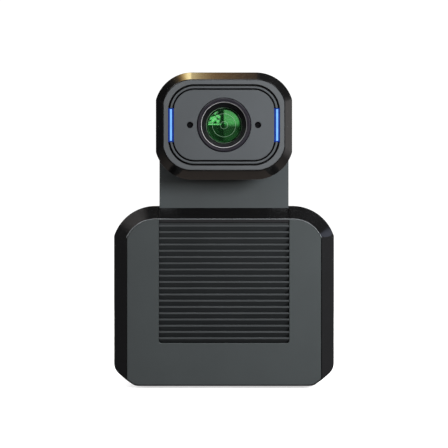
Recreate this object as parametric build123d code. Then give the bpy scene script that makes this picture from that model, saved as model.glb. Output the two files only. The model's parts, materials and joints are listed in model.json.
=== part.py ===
from build123d import *
import os
from math import acos, atan2, cos, degrees, hypot, pi, radians, sin, sqrt

# Tilting camera head on a box-shaped base, millimetres.
# +X is the camera's left-to-right as seen from the front, -Y points to the front, +Z is up.
# The origin is the mouth of the tripod thread in the underside.

# ---- base housing -------------------------------------------------------------------------
BASE_HALF_W = 71.0
BASE_TOP = 115.4
BASE_FRONT = -38.0
BASE_REAR = 58.0
BASE_SEAM = 10.0
BASE_WALL = 2.4
BASE_BEVEL = 8.3
BASE_CORNER_X = 44.2
BASE_CORNER_Z = 87.2
BASE_CORNER_R = BASE_TOP - BASE_CORNER_Z
FOOT_CHAMFER_X = 14.0
FOOT_CHAMFER_Z = 9.8
FOOT_BLEND = 8.0
FACE_PLATE_T = 2.0
FACE_PLATE_GAP = 0.12
FACE_LIP = 0.5
BEVEL_END = BASE_FRONT + BASE_BEVEL
REAR_EDGE_R = 2.0
VENT_H = 2.4
VENT_PITCH = 6.0
REAR_VENT_ROWS = 7
REAR_VENT_Z = 57.2
SIDE_VENT_ROWS = 6
SIDE_VENT_Z = 41.1
LOCK_SLOT = (49.5, 53.5)

# ---- ribbed centre panel ------------------------------------------------------------------
PANEL_HALF_W = 41.66
PANEL_BOTTOM = 27.5
PANEL_TOP = 104.5
PANEL_CORNER_R = 1.5
RIB_COUNT = 19
RIB_PITCH = 4.0
RIB_TOP_Z = 102.5
RIB_HEIGHT = 1.05
LOUVRE_DEPTH = 3.6
GRILLE_BACK = BASE_FRONT + FACE_PLATE_T + BASE_WALL
FIT = 0.1

# ---- neck and yoke ------------------------------------------------------------------------
NECK_FRONT = -30.8
NECK_REAR = 6.8
NECK_WALL = 1.6
NECK_BOTTOM = 104.5
SADDLE_Z = 136.2
EAR_INNER_X = 32.6
EAR_INNER_WALL = 1.2
EAR_R = (NECK_REAR - NECK_FRONT) / 2
PLATE_T = 2.0
ARM_X0 = EAR_INNER_X + EAR_INNER_WALL + 0.2
ARM_X1 = ARM_X0 + 1.6
ARM_R = 10.0

# ---- tilt axis and drive ------------------------------------------------------------------
TILT_Y = NECK_FRONT + EAR_R
TILT_Z = 165.7
SHAFT_R = 5.0
BUSH_R = 7.0
RUNNING = 0.05
GEAR_X0 = ARM_X1 + 1.0
GEAR_X1 = GEAR_X0 + 2.0
TILT_MODULE = 1.0
SECTOR_TEETH = 44
IDLER_TEETH = 16
PINION_TEETH = 10
SECTOR_HALF_DEG = 25.0
IDLER_Z = TILT_Z - TILT_MODULE * (SECTOR_TEETH + IDLER_TEETH) / 2
PINION_Z = IDLER_Z - TILT_MODULE * (IDLER_TEETH + PINION_TEETH) / 2
IDLER_PIN_R = 2.0
MOTOR_R = 9.4
MOTOR_LENGTH = 15.0

# ---- head ---------------------------------------------------------------------------------
HEAD_FRONT = -58.0
HEAD_HALF_W = 43.1
HEAD_HALF_H = 33.85
HEAD_CORNER_X = 20.2
HEAD_CORNER_R = 23.8
HEAD_BEVEL_DEPTH = 9.0
HEAD_BEVEL = 4.9
FACE_HALF_H = 28.5
HEAD_CORNER_Z = HEAD_HALF_H - HEAD_CORNER_R
BEZEL_REAR = HEAD_FRONT + HEAD_BEVEL_DEPTH + 1.0
THROAT_Y = BEZEL_REAR + 6.0
THROAT_HALF_W = 31.8
THROAT_HALF_H = 20.0
THROAT_CORNER_R = 4.0
DRUM_R = 24.0
HEAD_WALL = 1.8
POCKET_FLOOR = HEAD_FRONT + 2.2
FLOOR_REAR = POCKET_FLOOR + 1.8

# ---- face rings: every ring outline is an offset of one rectangle --------------------------
RING_X = 18.5
RING_Z = 9.0
RIM_INNER_R = 16.5
LAND_OUTER_R = 15.2
LAND_INNER_R = 14.0
PANEL_R = 12.9
LIGHT_BAR_HALF_H = 10.5
SENSOR_X = 21.3
SENSOR_HOLE_R = 2.0

# ---- lens ---------------------------------------------------------------------------------
LENS_Z = TILT_Z
TRIM_R = 17.0
TRIM_INNER_R = 14.4
FRONT_GLASS_R = 11.2
BARREL_R = 14.5
BARREL_BORE_R = 12.5
BARREL_FRONT = -52.0
BARREL_REAR = -8.0
CAM_R0 = 14.6
CAM_R1 = 16.4
CAM_FRONT = -48.5
CAM_REAR = -33.5
CAM_TURN_DEG = 40.0
ZOOM_TRAVEL = 8.0
ZOOM_Y = -45.0
ZOOM_PIN_R = 1.0
ZOOM_MODULE = 0.8
CAM_TEETH = 43
ZOOM_PINION_TEETH = 12
ZOOM_GEAR_W = 3.0
ZOOM_AXIS_X = ZOOM_MODULE * (CAM_TEETH + ZOOM_PINION_TEETH) / 2
LENS_PLATE_Y0 = -32.6
LENS_PLATE_Y1 = -31.0
SENSOR_BOARD_Y0 = -6.4
SENSOR_BOARD_Y1 = -4.8
POST_X = 17.0
POST_Z = 12.0

# ---- inside and behind the base -----------------------------------------------------------
CHASSIS_Z0 = 5.0
CHASSIS_Z1 = 7.0
TOWER_X0 = 30.0
TOWER_X1 = 32.0
TOWER_Y0 = -22.0
TOWER_Y1 = -2.0
CHASSIS_TOP = NECK_BOTTOM - PLATE_T
MAIN_BOARD_Y = 22.0
BOARD_T = 1.6
IO_BOARD_Z = 14.0
IO_PANEL_HALF_W = 52.0
IO_PANEL_Z0 = 12.0
IO_PANEL_Z1 = 46.0
IO_PANEL_Y0 = 56.0
IO_PANEL_Y1 = 57.6
CASE_SCREWS = [(-60.0, 20.0), (60.0, 20.0), (-60.0, 88.0), (60.0, 88.0)]
MAIN_BOARD_SCREWS = [(-45.5, 30.0), (45.5, 30.0), (-45.5, 92.0), (45.5, 92.0)]
YOKE_SCREWS = [(-26.0, -18.0), (26.0, -18.0), (-26.0, -6.0), (26.0, -6.0)]
CASE_SEAT = 1.9
CASE_HEAD_R = 2.8
FRAME_SCREW_R = 1.0
FRAME_HEAD_R = 1.9
FEET = [(-46.0, -16.0), (46.0, -16.0), (-46.0, 44.0), (46.0, 44.0)]
FOOT_R = 7.0
FOOT_DROP = 1.5
FOOT_SEAT = 0.8
TRIPOD_R = 2.6
TRIPOD_DEPTH = 9.5
TRIPOD_INSERT_R = 6.5
BRACKET_X = 28.0
BRACKET_BORE_R = 1.65
BRACKET_DEPTH = 6.0
BRACKET_INSERT_R = 3.2
NECK_SCREWS = [(-37.4, 111.0), (37.4, 111.0), (-37.4, 178.4), (37.4, 178.4)]
NECK_BOSS_R = 1.7
NECK_SCREW_R = 0.8
HEAD_SCREW_X = 26.0
HEAD_SCREW_Z = 12.0
ETHERNET = dict(x=-34.0, w=16.0, h=13.5, depth=21.0, open_w=11.8, open_h=8.2, open_depth=13.0)
USB = dict(x=-8.0, w=14.5, h=7.2, depth=18.0, open_w=12.6, open_h=5.2, open_depth=11.0)
HDMI = dict(x=16.0, w=15.4, h=6.4, depth=14.0, open_w=14.0, open_h=4.8, open_depth=9.0)
POWER = dict(x=38.0, w=9.0, h=11.0, depth=14.0)
POWER_HOLE_R = 3.2
POWER_PIN_R = 1.0
RESET_X = 4.0
RESET_Z = 36.0
RESET_R = 2.4


# ---- plain helpers ------------------------------------------------------------------------
def block(x0, x1, y0, y1, z0, z1):
    """Box between two corners."""
    size = Box(x1 - x0, y1 - y0, z1 - z0)
    return Pos((x0 + x1) / 2, (y0 + y1) / 2, (z0 + z1) / 2) * size


def rod_x(x0, x1, y, z, r):
    """Cylinder along X."""
    return Pos((x0 + x1) / 2, y, z) * Rot(0, 90, 0) * Cylinder(r, x1 - x0)


def rod_y(y0, y1, x, z, r):
    """Cylinder along Y."""
    return Pos(x, (y0 + y1) / 2, z) * Rot(90, 0, 0) * Cylinder(r, y1 - y0)


def rod_z(z0, z1, x, y, r):
    """Cylinder along Z."""
    return Pos(x, y, (z0 + z1) / 2) * Cylinder(r, z1 - z0)


def hex_key(y1, depth, x, z, r):
    """Hexagonal key recess, open to the rear at depth y1."""
    return prism(Pos(x, z) * RegularPolygon(r, 6), y1 - depth, y1 + 1)


def joined(pieces):
    """All pieces fused together."""
    whole = pieces[0]
    for piece in pieces[1:]:
        whole = whole + piece
    return whole


def front_plane(y):
    """Drawing plane facing the front at depth y: local x is X and local y is Z."""
    return Plane(origin=(0, y, 0), x_dir=(1, 0, 0), z_dir=(0, -1, 0))


def prism(face, y0, y1):
    """Outline drawn in X and Z, swept from depth y0 back to depth y1."""
    return extrude(front_plane(y1) * face, amount=y1 - y0)


def taper(face0, y0, face1, y1):
    """Solid between two outlines of the same make at depths y0 and y1."""
    return loft([front_plane(y0) * face0, front_plane(y1) * face1], ruled=True)


def side_prism(points, x0, x1):
    """Polygon given in Y and Z, swept along X."""
    plane = Plane(origin=(x0, 0, 0), x_dir=(0, 1, 0), z_dir=(1, 0, 0))
    outline = make_face(Polyline(*points, close=True).edges())
    return extrude(plane * outline, amount=x1 - x0)


def turned(points, x, z):
    """Polygon given as radius and depth, turned about a line along Y."""
    outline = make_face(Polyline(*points, close=True).edges())
    plane = Plane(origin=(x, 0, z), x_dir=(1, 0, 0), z_dir=(0, 0, 1))
    axis = Axis((x, 0, z), (0, 1, 0))
    return revolve(plane * outline, axis, 360)


def tube_y(y0, y1, x, z, r_in, r_out):
    """Ring along Y."""
    return rod_y(y0, y1, x, z, r_out) - rod_y(y0 - 1, y1 + 1, x, z, r_in)


def corner(cx, cz, r, a0, a1):
    """Arc about (cx, cz) from angle a0 to a1, degrees."""
    spots = []
    for angle in (a0, (a0 + a1) / 2, a1):
        spots.append((cx + r * cos(radians(angle)), cz + r * sin(radians(angle))))
    return ThreePointArc(*spots)


def chained(arcs):
    """Closed outline of arcs joined by straight lines."""
    edges = []
    for i, arc in enumerate(arcs):
        following = arcs[(i + 1) % len(arcs)]
        edges.append(arc)
        edges.append(Line(arc @ 1, following @ 0))
    return make_face(Curve() + edges)


# ---- outlines -----------------------------------------------------------------------------
def base_upper(half_w, r, bottom):
    """Base outline with round upper corners and a square foot at height bottom."""
    side = degrees(acos((half_w - BASE_CORNER_X) / r))
    right = corner(BASE_CORNER_X, BASE_CORNER_Z, r, side, 90)
    left = corner(-BASE_CORNER_X, BASE_CORNER_Z, r, 90, 180 - side)
    lower_left = (-half_w, bottom)
    lower_right = (half_w, bottom)
    edges = [
        right,
        Line(right @ 1, left @ 0),
        left,
        Line(left @ 1, lower_left),
        Line(lower_left, lower_right),
        Line(lower_right, right @ 0),
    ]
    return make_face(Curve() + edges)


def foot_cut(inset):
    """Outline that holds the base's lower corners: chamfered, with blended ends."""
    half_w = BASE_HALF_W - inset
    slope = FOOT_CHAMFER_Z / FOOT_CHAMFER_X
    shift = inset * (hypot(1, slope) - slope)
    low_x = BASE_HALF_W - FOOT_CHAMFER_X - shift
    rise = (half_w - low_x) * slope
    top = BASE_TOP + 10
    points = [(low_x, inset), (half_w, inset + rise), (half_w, top)]
    points += [(-x, z) for x, z in reversed(points)]
    outline = make_face(Polyline(*points, close=True).edges())
    low = [v for v in outline.vertices() if v.Y < BASE_TOP]
    return fillet(low, FOOT_BLEND - inset)


def base_solid(inset, y0, y1):
    """Base block between two depths, its outline moved in by inset."""
    upper = prism(base_upper(BASE_HALF_W - inset, BASE_CORNER_R - inset, inset - 1), y0, y1)
    return upper & prism(foot_cut(inset), y0, y1)


def base_bevelled():
    """Whole base block with its front bevel along the sides and the top."""
    body = base_solid(0, BASE_FRONT, BASE_REAR)
    low = -10
    narrow = base_upper(BASE_HALF_W - BASE_BEVEL, BASE_CORNER_R - BASE_BEVEL, low)
    wide = base_upper(BASE_HALF_W, BASE_CORNER_R, low)
    wedge = taper(narrow, BASE_FRONT, wide, BEVEL_END)
    rest = block(-80, 80, BEVEL_END, BASE_REAR, low, BASE_TOP + 5)
    return body & (wedge + rest)


def face_outline(inset):
    """Outline of the flat front face of the base."""
    side = BASE_BEVEL + inset
    upper = base_upper(BASE_HALF_W - side, BASE_CORNER_R - side, inset - 1)
    return upper & foot_cut(inset)


def panel_outline(half_w, bottom, top):
    """Centre panel outline, round lower corners."""
    outline = make_face(
        Polyline((-half_w, bottom), (half_w, bottom), (half_w, top), (-half_w, top), close=True).edges()
    )
    low = [v for v in outline.vertices() if v.Y < bottom + 1]
    return fillet(low, PANEL_CORNER_R)


def head_outline(half_w, half_h, corner_x, r):
    """Head outline about the tilt height: corners are arcs tangent to the top and bottom."""
    side = degrees(acos(min(1.0, (half_w - corner_x) / r)))
    cz = half_h - r
    arcs = [
        corner(corner_x, TILT_Z + cz, r, side, 90),
        corner(-corner_x, TILT_Z + cz, r, 90, 180 - side),
        corner(-corner_x, TILT_Z - cz, r, 180 + side, 270),
        corner(corner_x, TILT_Z - cz, r, 270, 360 - side),
    ]
    return chained(arcs)


def ring_outline(r):
    """Face ring outline: the ring rectangle grown by r."""
    return head_outline(RING_X + r, RING_Z + r, RING_X, r)


def face_edge(inset):
    """Outline of the head's flat face."""
    r = FACE_HALF_H - HEAD_CORNER_Z - inset
    return head_outline(HEAD_HALF_W - HEAD_BEVEL - inset, FACE_HALF_H - inset, HEAD_CORNER_X, r)


def gear(module, teeth, phase, first=0, last=None):
    """Spur gear drawn about the origin of a plane, teeth given from first to last."""
    r = module * teeth / 2
    root = r - 1.2 * module
    tip = r + 0.9 * module
    pitch = 2 * pi / teeth
    half_root = 0.30 * pitch
    half_tip = 0.115 * pitch
    blank = Circle(root)
    sunk = root - 0.3
    tooth = [(sunk, -half_root), (tip, -half_tip), (tip, half_tip), (sunk, half_root)]
    for n in range(first, teeth if last is None else last):
        mid = phase + n * pitch
        points = [(radius * cos(mid + turn), radius * sin(mid + turn)) for radius, turn in tooth]
        blank = blank + make_face(Polyline(*points, close=True).edges())
    return blank


# ---- base housing -------------------------------------------------------------------------
def screw_bosses(y0, y1, r_out):
    """Four posts for the case screws."""
    return joined([rod_y(y0, y1, x, z, r_out) for x, z in CASE_SCREWS])


def front_cavity():
    """Hollow of the front half, narrowing behind the bevel."""
    inset = BASE_BEVEL - (GRILLE_BACK - BASE_FRONT) + BASE_WALL * sqrt(2)
    meet = GRILLE_BACK + inset - BASE_WALL
    low = -10
    narrow = base_upper(BASE_HALF_W - inset, BASE_CORNER_R - inset, low)
    wide = base_upper(BASE_HALF_W - BASE_WALL, BASE_CORNER_R - BASE_WALL, low)
    wedge = taper(narrow, GRILLE_BACK, wide, meet)
    rest = block(-80, 80, meet, BASE_SEAM + 2, low, BASE_TOP + 5)
    return base_solid(BASE_WALL, GRILLE_BACK, BASE_SEAM + 1) & (wedge + rest)


def base_front_shell():
    """Front half of the case with the bevel, open behind, cut for grille, strip and neck."""
    shell = base_bevelled() & block(-80, 80, BASE_FRONT, BASE_SEAM, -1, BASE_TOP + 1)
    shell -= front_cavity()
    shell += screw_bosses(GRILLE_BACK - 0.2, BASE_SEAM, 4.0)
    shell -= prism(face_outline(FACE_LIP), BASE_FRONT - 1, BASE_FRONT + FACE_PLATE_T)
    opening = panel_outline(PANEL_HALF_W, PANEL_BOTTOM, BASE_TOP + 5)
    shell -= prism(opening, BASE_FRONT - 1, GRILLE_BACK + 0.1)
    neck_w = PANEL_HALF_W + FIT
    shell -= block(-neck_w, neck_w, BASE_FRONT - 1, NECK_REAR + FIT, PANEL_TOP, BASE_TOP + 5)
    for x, z in CASE_SCREWS:
        shell -= rod_y(-20, BASE_SEAM + 1, x, z, 1.25)
    for x, y in FEET[:2]:
        shell -= rod_z(-1, FOOT_SEAT, x, y, FOOT_R)
    shell -= rod_z(-1, BASE_WALL + 1, 0, 0, TRIPOD_INSERT_R)
    for side in (-1, 1):
        shell -= rod_z(-1, BASE_WALL + 1, side * BRACKET_X, 0, BRACKET_INSERT_R)
        shell += rod_z(BASE_WALL - 0.2, CHASSIS_Z0, side * 40, -16, 3.5)
    return shell


def base_face_plate():
    """Flat front plate, notched for the centre panel."""
    plate = prism(face_outline(FACE_LIP + FACE_PLATE_GAP), BASE_FRONT, BASE_FRONT + FACE_PLATE_T)
    notch_w = PANEL_HALF_W + FIT
    plate -= prism(panel_outline(notch_w, PANEL_BOTTOM - FIT, BASE_TOP), BASE_FRONT - 1, GRILLE_BACK)
    return plate


def bevel_centre_strip():
    """Strip that closes the bevel in front of the neck."""
    half_w = PANEL_HALF_W - FIT
    room = block(-half_w, half_w, BASE_FRONT, NECK_FRONT - FIT, PANEL_TOP + FIT, BASE_TOP + 1)
    return base_bevelled() & room


def rib_grille():
    """Louvred centre panel: thin ribs with slanted faces between them, on a backing plate."""
    half_w = PANEL_HALF_W - FIT
    back = GRILLE_BACK + 2.0
    top = PANEL_TOP
    points = [(back, top), (BASE_FRONT + 0.8, top)]
    for n in range(RIB_COUNT):
        z = RIB_TOP_Z - n * RIB_PITCH
        lower = max(z - RIB_PITCH, PANEL_BOTTOM + FIT - RIB_HEIGHT / 2)
        points.append((BASE_FRONT + LOUVRE_DEPTH if n else BASE_FRONT + 1.6, z + RIB_HEIGHT / 2))
        points.append((BASE_FRONT + 0.05, z + RIB_HEIGHT / 2))
        points.append((BASE_FRONT + 0.05, z - RIB_HEIGHT / 2))
        points.append((BASE_FRONT + 0.5, z - RIB_HEIGHT / 2 - 0.1))
    points.append((BASE_FRONT + LOUVRE_DEPTH - 0.6, PANEL_BOTTOM + FIT))
    points.append((back, PANEL_BOTTOM + FIT))
    louvre = side_prism(points, -half_w, half_w)
    louvre = louvre & prism(panel_outline(half_w, PANEL_BOTTOM + FIT, BASE_TOP), BASE_FRONT, back)
    flange = block(-45, 45, GRILLE_BACK, back, 24, top)
    return louvre + flange


def base_rear_shell():
    """Rear half of the case with the connector window and vent slots."""
    shell = base_solid(0, BASE_SEAM, BASE_REAR)
    rim = shell.faces().sort_by(Axis.Y)[-1].outer_wire().edges()
    shell = fillet(rim, REAR_EDGE_R)
    shell = shell - base_solid(BASE_WALL, BASE_SEAM - 1, BASE_REAR - BASE_WALL)
    shell += screw_bosses(BASE_SEAM, BASE_REAR - BASE_WALL + 0.2, 4.0)
    for x, z in CASE_SCREWS:
        shell -= rod_y(BASE_SEAM - 1, BASE_REAR + 1, x, z, 1.6)
        shell -= rod_y(BASE_REAR - CASE_SEAT, BASE_REAR + 1, x, z, CASE_HEAD_R + 0.2)
    window = (-IO_PANEL_HALF_W, IO_PANEL_HALF_W, BASE_REAR - 5, BASE_REAR + 1, IO_PANEL_Z0, IO_PANEL_Z1)
    shell -= block(*window)
    for row in range(REAR_VENT_ROWS):
        z = REAR_VENT_Z + row * VENT_PITCH
        for side in (-1, 1):
            slot = front_plane(BASE_REAR + 1) * Pos(side * 23, z) * SlotOverall(30, VENT_H)
            shell -= extrude(slot, amount=6)
    side_plane = Plane(origin=(-80, 0, 0), x_dir=(0, 1, 0), z_dir=(1, 0, 0))
    for row in range(SIDE_VENT_ROWS):
        z = SIDE_VENT_Z + row * VENT_PITCH
        shell -= extrude(side_plane * Pos(34, z) * SlotOverall(24, VENT_H), amount=160)
    lock = front_plane(BASE_REAR + 1) * Pos(*LOCK_SLOT) * SlotOverall(7, 3)
    shell -= extrude(lock, amount=6)
    for x, y in FEET[2:]:
        shell -= rod_z(-1, FOOT_SEAT, x, y, FOOT_R)
        shell += rod_z(BASE_WALL - 0.2, CHASSIS_Z0, x * 0.8, y, 3.5)
    return shell


def jack_mouth(spec, grow):
    """Opening for one connector, as x0, x1, z0, z1."""
    half = spec["w"] / 2 + grow
    floor = IO_BOARD_Z + BOARD_T
    return spec["x"] - half, spec["x"] + half, floor - grow, floor + spec["h"] + grow


def rear_io_panel():
    """Steel connector plate in the rear window."""
    half_w = IO_PANEL_HALF_W - FIT
    plate = block(-half_w, half_w, IO_PANEL_Y0, IO_PANEL_Y1, IO_PANEL_Z0 + FIT, IO_PANEL_Z1 - FIT)
    for spec in (ETHERNET, USB, HDMI, POWER):
        x0, x1, z0, z1 = jack_mouth(spec, 0.25)
        plate -= block(x0, x1, IO_PANEL_Y0 - 1, IO_PANEL_Y1 + 1, z0, z1)
    return plate - rod_y(IO_PANEL_Y0 - 1, IO_PANEL_Y1 + 1, RESET_X, RESET_Z, RESET_R + 0.2)


def case_screws():
    """Four long screws that close the case from behind."""
    screws = []
    for x, z in CASE_SCREWS:
        seat = BASE_REAR - CASE_SEAT
        head = rod_y(seat, BASE_REAR - 0.2, x, z, CASE_HEAD_R) - hex_key(BASE_REAR, 1.2, x, z, 1.45)
        screws.append(head + rod_y(-12, seat, x, z, 1.25))
    return Compound(children=screws)


def rubber_feet():
    """Four stick-on feet with a chamfered tread."""
    feet = []
    for x, y in FEET:
        pad = rod_z(-FOOT_DROP, FOOT_SEAT, x, y, FOOT_R - 0.05)
        feet.append(chamfer(pad.edges().sort_by(Axis.Z)[0], 0.5))
    return Compound(children=feet)


def tripod_insert():
    """Brass insert with the tripod thread's bore."""
    insert = rod_z(0, TRIPOD_DEPTH + 1.5, 0, 0, TRIPOD_INSERT_R)
    return insert - rod_z(-1, TRIPOD_DEPTH, 0, 0, TRIPOD_R)


def bracket_inserts():
    """Two brass inserts for a wall bracket's screws."""
    inserts = []
    for side in (-1, 1):
        body = rod_z(0, CHASSIS_Z1, side * BRACKET_X, 0, BRACKET_INSERT_R)
        inserts.append(body - rod_z(-1, BRACKET_DEPTH, side * BRACKET_X, 0, BRACKET_BORE_R))
    return Compound(children=inserts)


# ---- chassis and electronics --------------------------------------------------------------
def chassis_frame():
    """Sheet chassis: floor, two towers and the top flange that carries the yoke."""
    frame = block(-48, 48, -28, 50, CHASSIS_Z0, CHASSIS_Z1)
    for side in (-1, 1):
        x0, x1 = sorted((side * TOWER_X0, side * TOWER_X1))
        frame += block(x0, x1, TOWER_Y0, TOWER_Y1, CHASSIS_Z1 - 0.2, CHASSIS_TOP)
    frame += block(-TOWER_X1, TOWER_X1, TOWER_Y0, TOWER_Y1, CHASSIS_TOP - PLATE_T, CHASSIS_TOP)
    for side in (-1, 1):
        x0, x1 = sorted((side * 44, side * 47))
        frame += block(x0, x1, MAIN_BOARD_Y - 3, MAIN_BOARD_Y, CHASSIS_Z1 - 0.2, 96)
    frame -= rod_z(0, 20, 0, 0, TRIPOD_INSERT_R)
    for side in (-1, 1):
        frame -= rod_z(0, 20, side * BRACKET_X, 0, BRACKET_INSERT_R)
    for x, z in MAIN_BOARD_SCREWS:
        frame -= rod_y(MAIN_BOARD_Y - 4, MAIN_BOARD_Y + 1, x, z, FRAME_SCREW_R)
    for x, y in YOKE_SCREWS:
        frame -= rod_z(CHASSIS_TOP - PLATE_T - 1, CHASSIS_TOP + 1, x, y, FRAME_SCREW_R)
    return frame


def main_board():
    """Upright circuit board on the chassis."""
    board = block(-50, 50, MAIN_BOARD_Y, MAIN_BOARD_Y + BOARD_T, 20, 98)
    for x, z in MAIN_BOARD_SCREWS:
        board -= rod_y(MAIN_BOARD_Y - 1, MAIN_BOARD_Y + 3, x, z, FRAME_SCREW_R)
    return board


def frame_screws():
    """Identical screws that hold the main board and the yoke on the chassis."""
    top = MAIN_BOARD_Y + BOARD_T
    screws = []
    for x, z in MAIN_BOARD_SCREWS:
        shank = rod_y(MAIN_BOARD_Y - 2.6, top, x, z, FRAME_SCREW_R)
        screws.append(shank + rod_y(top, top + 1.4, x, z, FRAME_HEAD_R))
    for x, y in YOKE_SCREWS:
        shank = rod_z(NECK_BOTTOM - 4.2, NECK_BOTTOM, x, y, FRAME_SCREW_R)
        screws.append(shank + rod_z(NECK_BOTTOM, NECK_BOTTOM + 1.4, x, y, FRAME_HEAD_R))
    return Compound(children=screws)


def heat_sink():
    """Finned aluminium block on the processor."""
    y0 = MAIN_BOARD_Y + BOARD_T + 1.4
    sink = block(-22, 22, y0, y0 + 3, 48, 92)
    for n in range(9):
        x = -21 + n * 5
        sink += block(x, x + 2, y0 + 2.8, y0 + 16, 48, 92)
    return sink


def processor_chip():
    """Main chip under the heat sink."""
    y0 = MAIN_BOARD_Y + BOARD_T
    return block(-10, 10, y0, y0 + 1.4, 60, 80)


def io_board():
    """Flat circuit board that carries the connectors."""
    return block(-50, 50, 27, 54, IO_BOARD_Z, IO_BOARD_Z + BOARD_T)


def jack_shell(spec):
    """Connector housing with its socket open to the rear."""
    x0, x1, z0, z1 = jack_mouth(spec, 0)
    return block(x0, x1, IO_PANEL_Y1 - spec["depth"], IO_PANEL_Y1 + 0.2, z0, z1)


def socket(spec):
    """Hollow of one connector."""
    z = IO_BOARD_Z + BOARD_T + spec["h"] / 2
    half_w = spec["open_w"] / 2
    half_h = spec["open_h"] / 2
    x = spec["x"]
    y0 = IO_PANEL_Y1 - spec["open_depth"]
    return block(x - half_w, x + half_w, y0, IO_PANEL_Y1 + 1, z - half_h, z + half_h)


def ethernet_jack():
    """Network socket with its latch notch below."""
    z0 = IO_BOARD_Z + BOARD_T
    y1 = IO_PANEL_Y1 + 1
    latch = block(ETHERNET["x"] - 3, ETHERNET["x"] + 3, y1 - 9, y1, z0 + 1.2, z0 + 3)
    return jack_shell(ETHERNET) - socket(ETHERNET) - latch


def tongue(spec, half_w, thickness):
    """Contact tongue in the middle of a socket."""
    z = IO_BOARD_Z + BOARD_T + spec["h"] / 2
    y0 = IO_PANEL_Y1 - spec["open_depth"] - 0.2
    return block(spec["x"] - half_w, spec["x"] + half_w, y0, IO_PANEL_Y1 - 1.5, z, z + thickness)


def usb_jack():
    """Serial bus socket with its tongue."""
    return jack_shell(USB) - socket(USB) + tongue(USB, 5.4, 1.8)


def hdmi_jack():
    """Video socket with its tongue."""
    return jack_shell(HDMI) - socket(HDMI) + tongue(HDMI, 5.0, 1.2)


def dc_power_jack():
    """Barrel socket with its centre pin."""
    z = IO_BOARD_Z + BOARD_T + POWER["h"] / 2
    y1 = IO_PANEL_Y1 + 1
    body = jack_shell(POWER) - rod_y(y1 - 10, y1, POWER["x"], z, POWER_HOLE_R)
    return body + rod_y(y1 - 10.2, IO_PANEL_Y1 - 1, POWER["x"], z, POWER_PIN_R)


def reset_button():
    """Button cap with a collar behind the panel."""
    cap = rod_y(IO_PANEL_Y0 - 1.4, IO_PANEL_Y1 + 1.6, RESET_X, RESET_Z, RESET_R)
    return cap + rod_y(IO_PANEL_Y0 - 1.4, IO_PANEL_Y0 - 0.3, RESET_X, RESET_Z, RESET_R + 1)


def reset_switch():
    """Tact switch body on a post of the input and output board."""
    y1 = IO_PANEL_Y0 - 3.2
    body = block(RESET_X - 3.5, RESET_X + 3.5, y1 - 4, y1, RESET_Z - 3.5, RESET_Z + 3.5)
    return body + block(RESET_X - 3.5, RESET_X + 3.5, y1 - 4, y1 - 2.4, IO_BOARD_Z + BOARD_T, RESET_Z)


# ---- neck ---------------------------------------------------------------------------------
def ear_side(inset, x0, x1, bottom):
    """Neck column between two widths: straight sides and a round top about the tilt axis."""
    column = block(x0, x1, NECK_FRONT + inset, NECK_REAR - inset, bottom, TILT_Z)
    return column + rod_x(x0, x1, TILT_Y, TILT_Z, EAR_R - inset)


def neck_skin():
    """Closed U-shaped skin of the neck, hollow and open at its foot."""
    outer = ear_side(0, -PANEL_HALF_W, PANEL_HALF_W, NECK_BOTTOM)
    outer -= block(-EAR_INNER_X, EAR_INNER_X, NECK_FRONT - 1, NECK_REAR + 1, SADDLE_Z, TILT_Z + 30)
    inner_w = PANEL_HALF_W - NECK_WALL
    hollow = ear_side(NECK_WALL, -inner_w, inner_w, NECK_BOTTOM - 1)
    block_w = EAR_INNER_X + EAR_INNER_WALL
    hollow -= block(-block_w, block_w, NECK_FRONT - 1, NECK_REAR + 1, SADDLE_Z - NECK_WALL, TILT_Z + 30)
    return outer - hollow


def neck_bosses():
    """Screw posts inside the neck, trimmed to its outside."""
    bosses = []
    for x, z in NECK_SCREWS:
        bosses.append(rod_y(NECK_FRONT + 0.5, NECK_REAR - 0.5, x, z, NECK_BOSS_R))
    inside = ear_side(0.5, -PANEL_HALF_W + 0.5, PANEL_HALF_W - 0.5, NECK_BOTTOM)
    return [boss & inside for boss in bosses]


def neck_whole():
    """Neck skin with its posts, before it is split into two covers."""
    skin = neck_skin()
    for boss in neck_bosses():
        skin += boss
    skin -= rod_x(-PANEL_HALF_W + NECK_WALL, PANEL_HALF_W - NECK_WALL, TILT_Y, TILT_Z, BUSH_R + 0.6)
    return skin


def neck_front_cover():
    """Front half of the neck."""
    cover = neck_whole() & block(-80, 80, NECK_FRONT, TILT_Y, 0, 250)
    for x, z in NECK_SCREWS:
        cover -= rod_y(TILT_Y - 12, TILT_Y + 1, x, z, NECK_SCREW_R)
    return cover


def screw_seat_y(z):
    """Depth of the screw head's seat in the rear of the neck at height z."""
    rise = max(0.0, z - TILT_Z)
    return TILT_Y + sqrt(EAR_R ** 2 - rise ** 2) - 3.2


def neck_rear_cover():
    """Rear half of the neck, with the seats of its screws."""
    cover = neck_whole() & block(-80, 80, TILT_Y, NECK_REAR, 0, 250)
    for x, z in NECK_SCREWS:
        seat = screw_seat_y(z)
        cover -= rod_y(TILT_Y - 1, NECK_REAR + 1, x, z, NECK_SCREW_R)
        cover -= rod_y(seat, NECK_REAR + 1, x, z, 1.5)
    return cover


def neck_screws():
    """Four screws that pull the rear cover onto the front one."""
    screws = []
    for x, z in NECK_SCREWS:
        seat = screw_seat_y(z)
        head = rod_y(seat, seat + 1.2, x, z, 1.4) - hex_key(seat + 1.2, 0.7, x, z, 0.75)
        screws.append(rod_y(TILT_Y - 10, seat, x, z, NECK_SCREW_R) + head)
    return Compound(children=screws)


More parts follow.
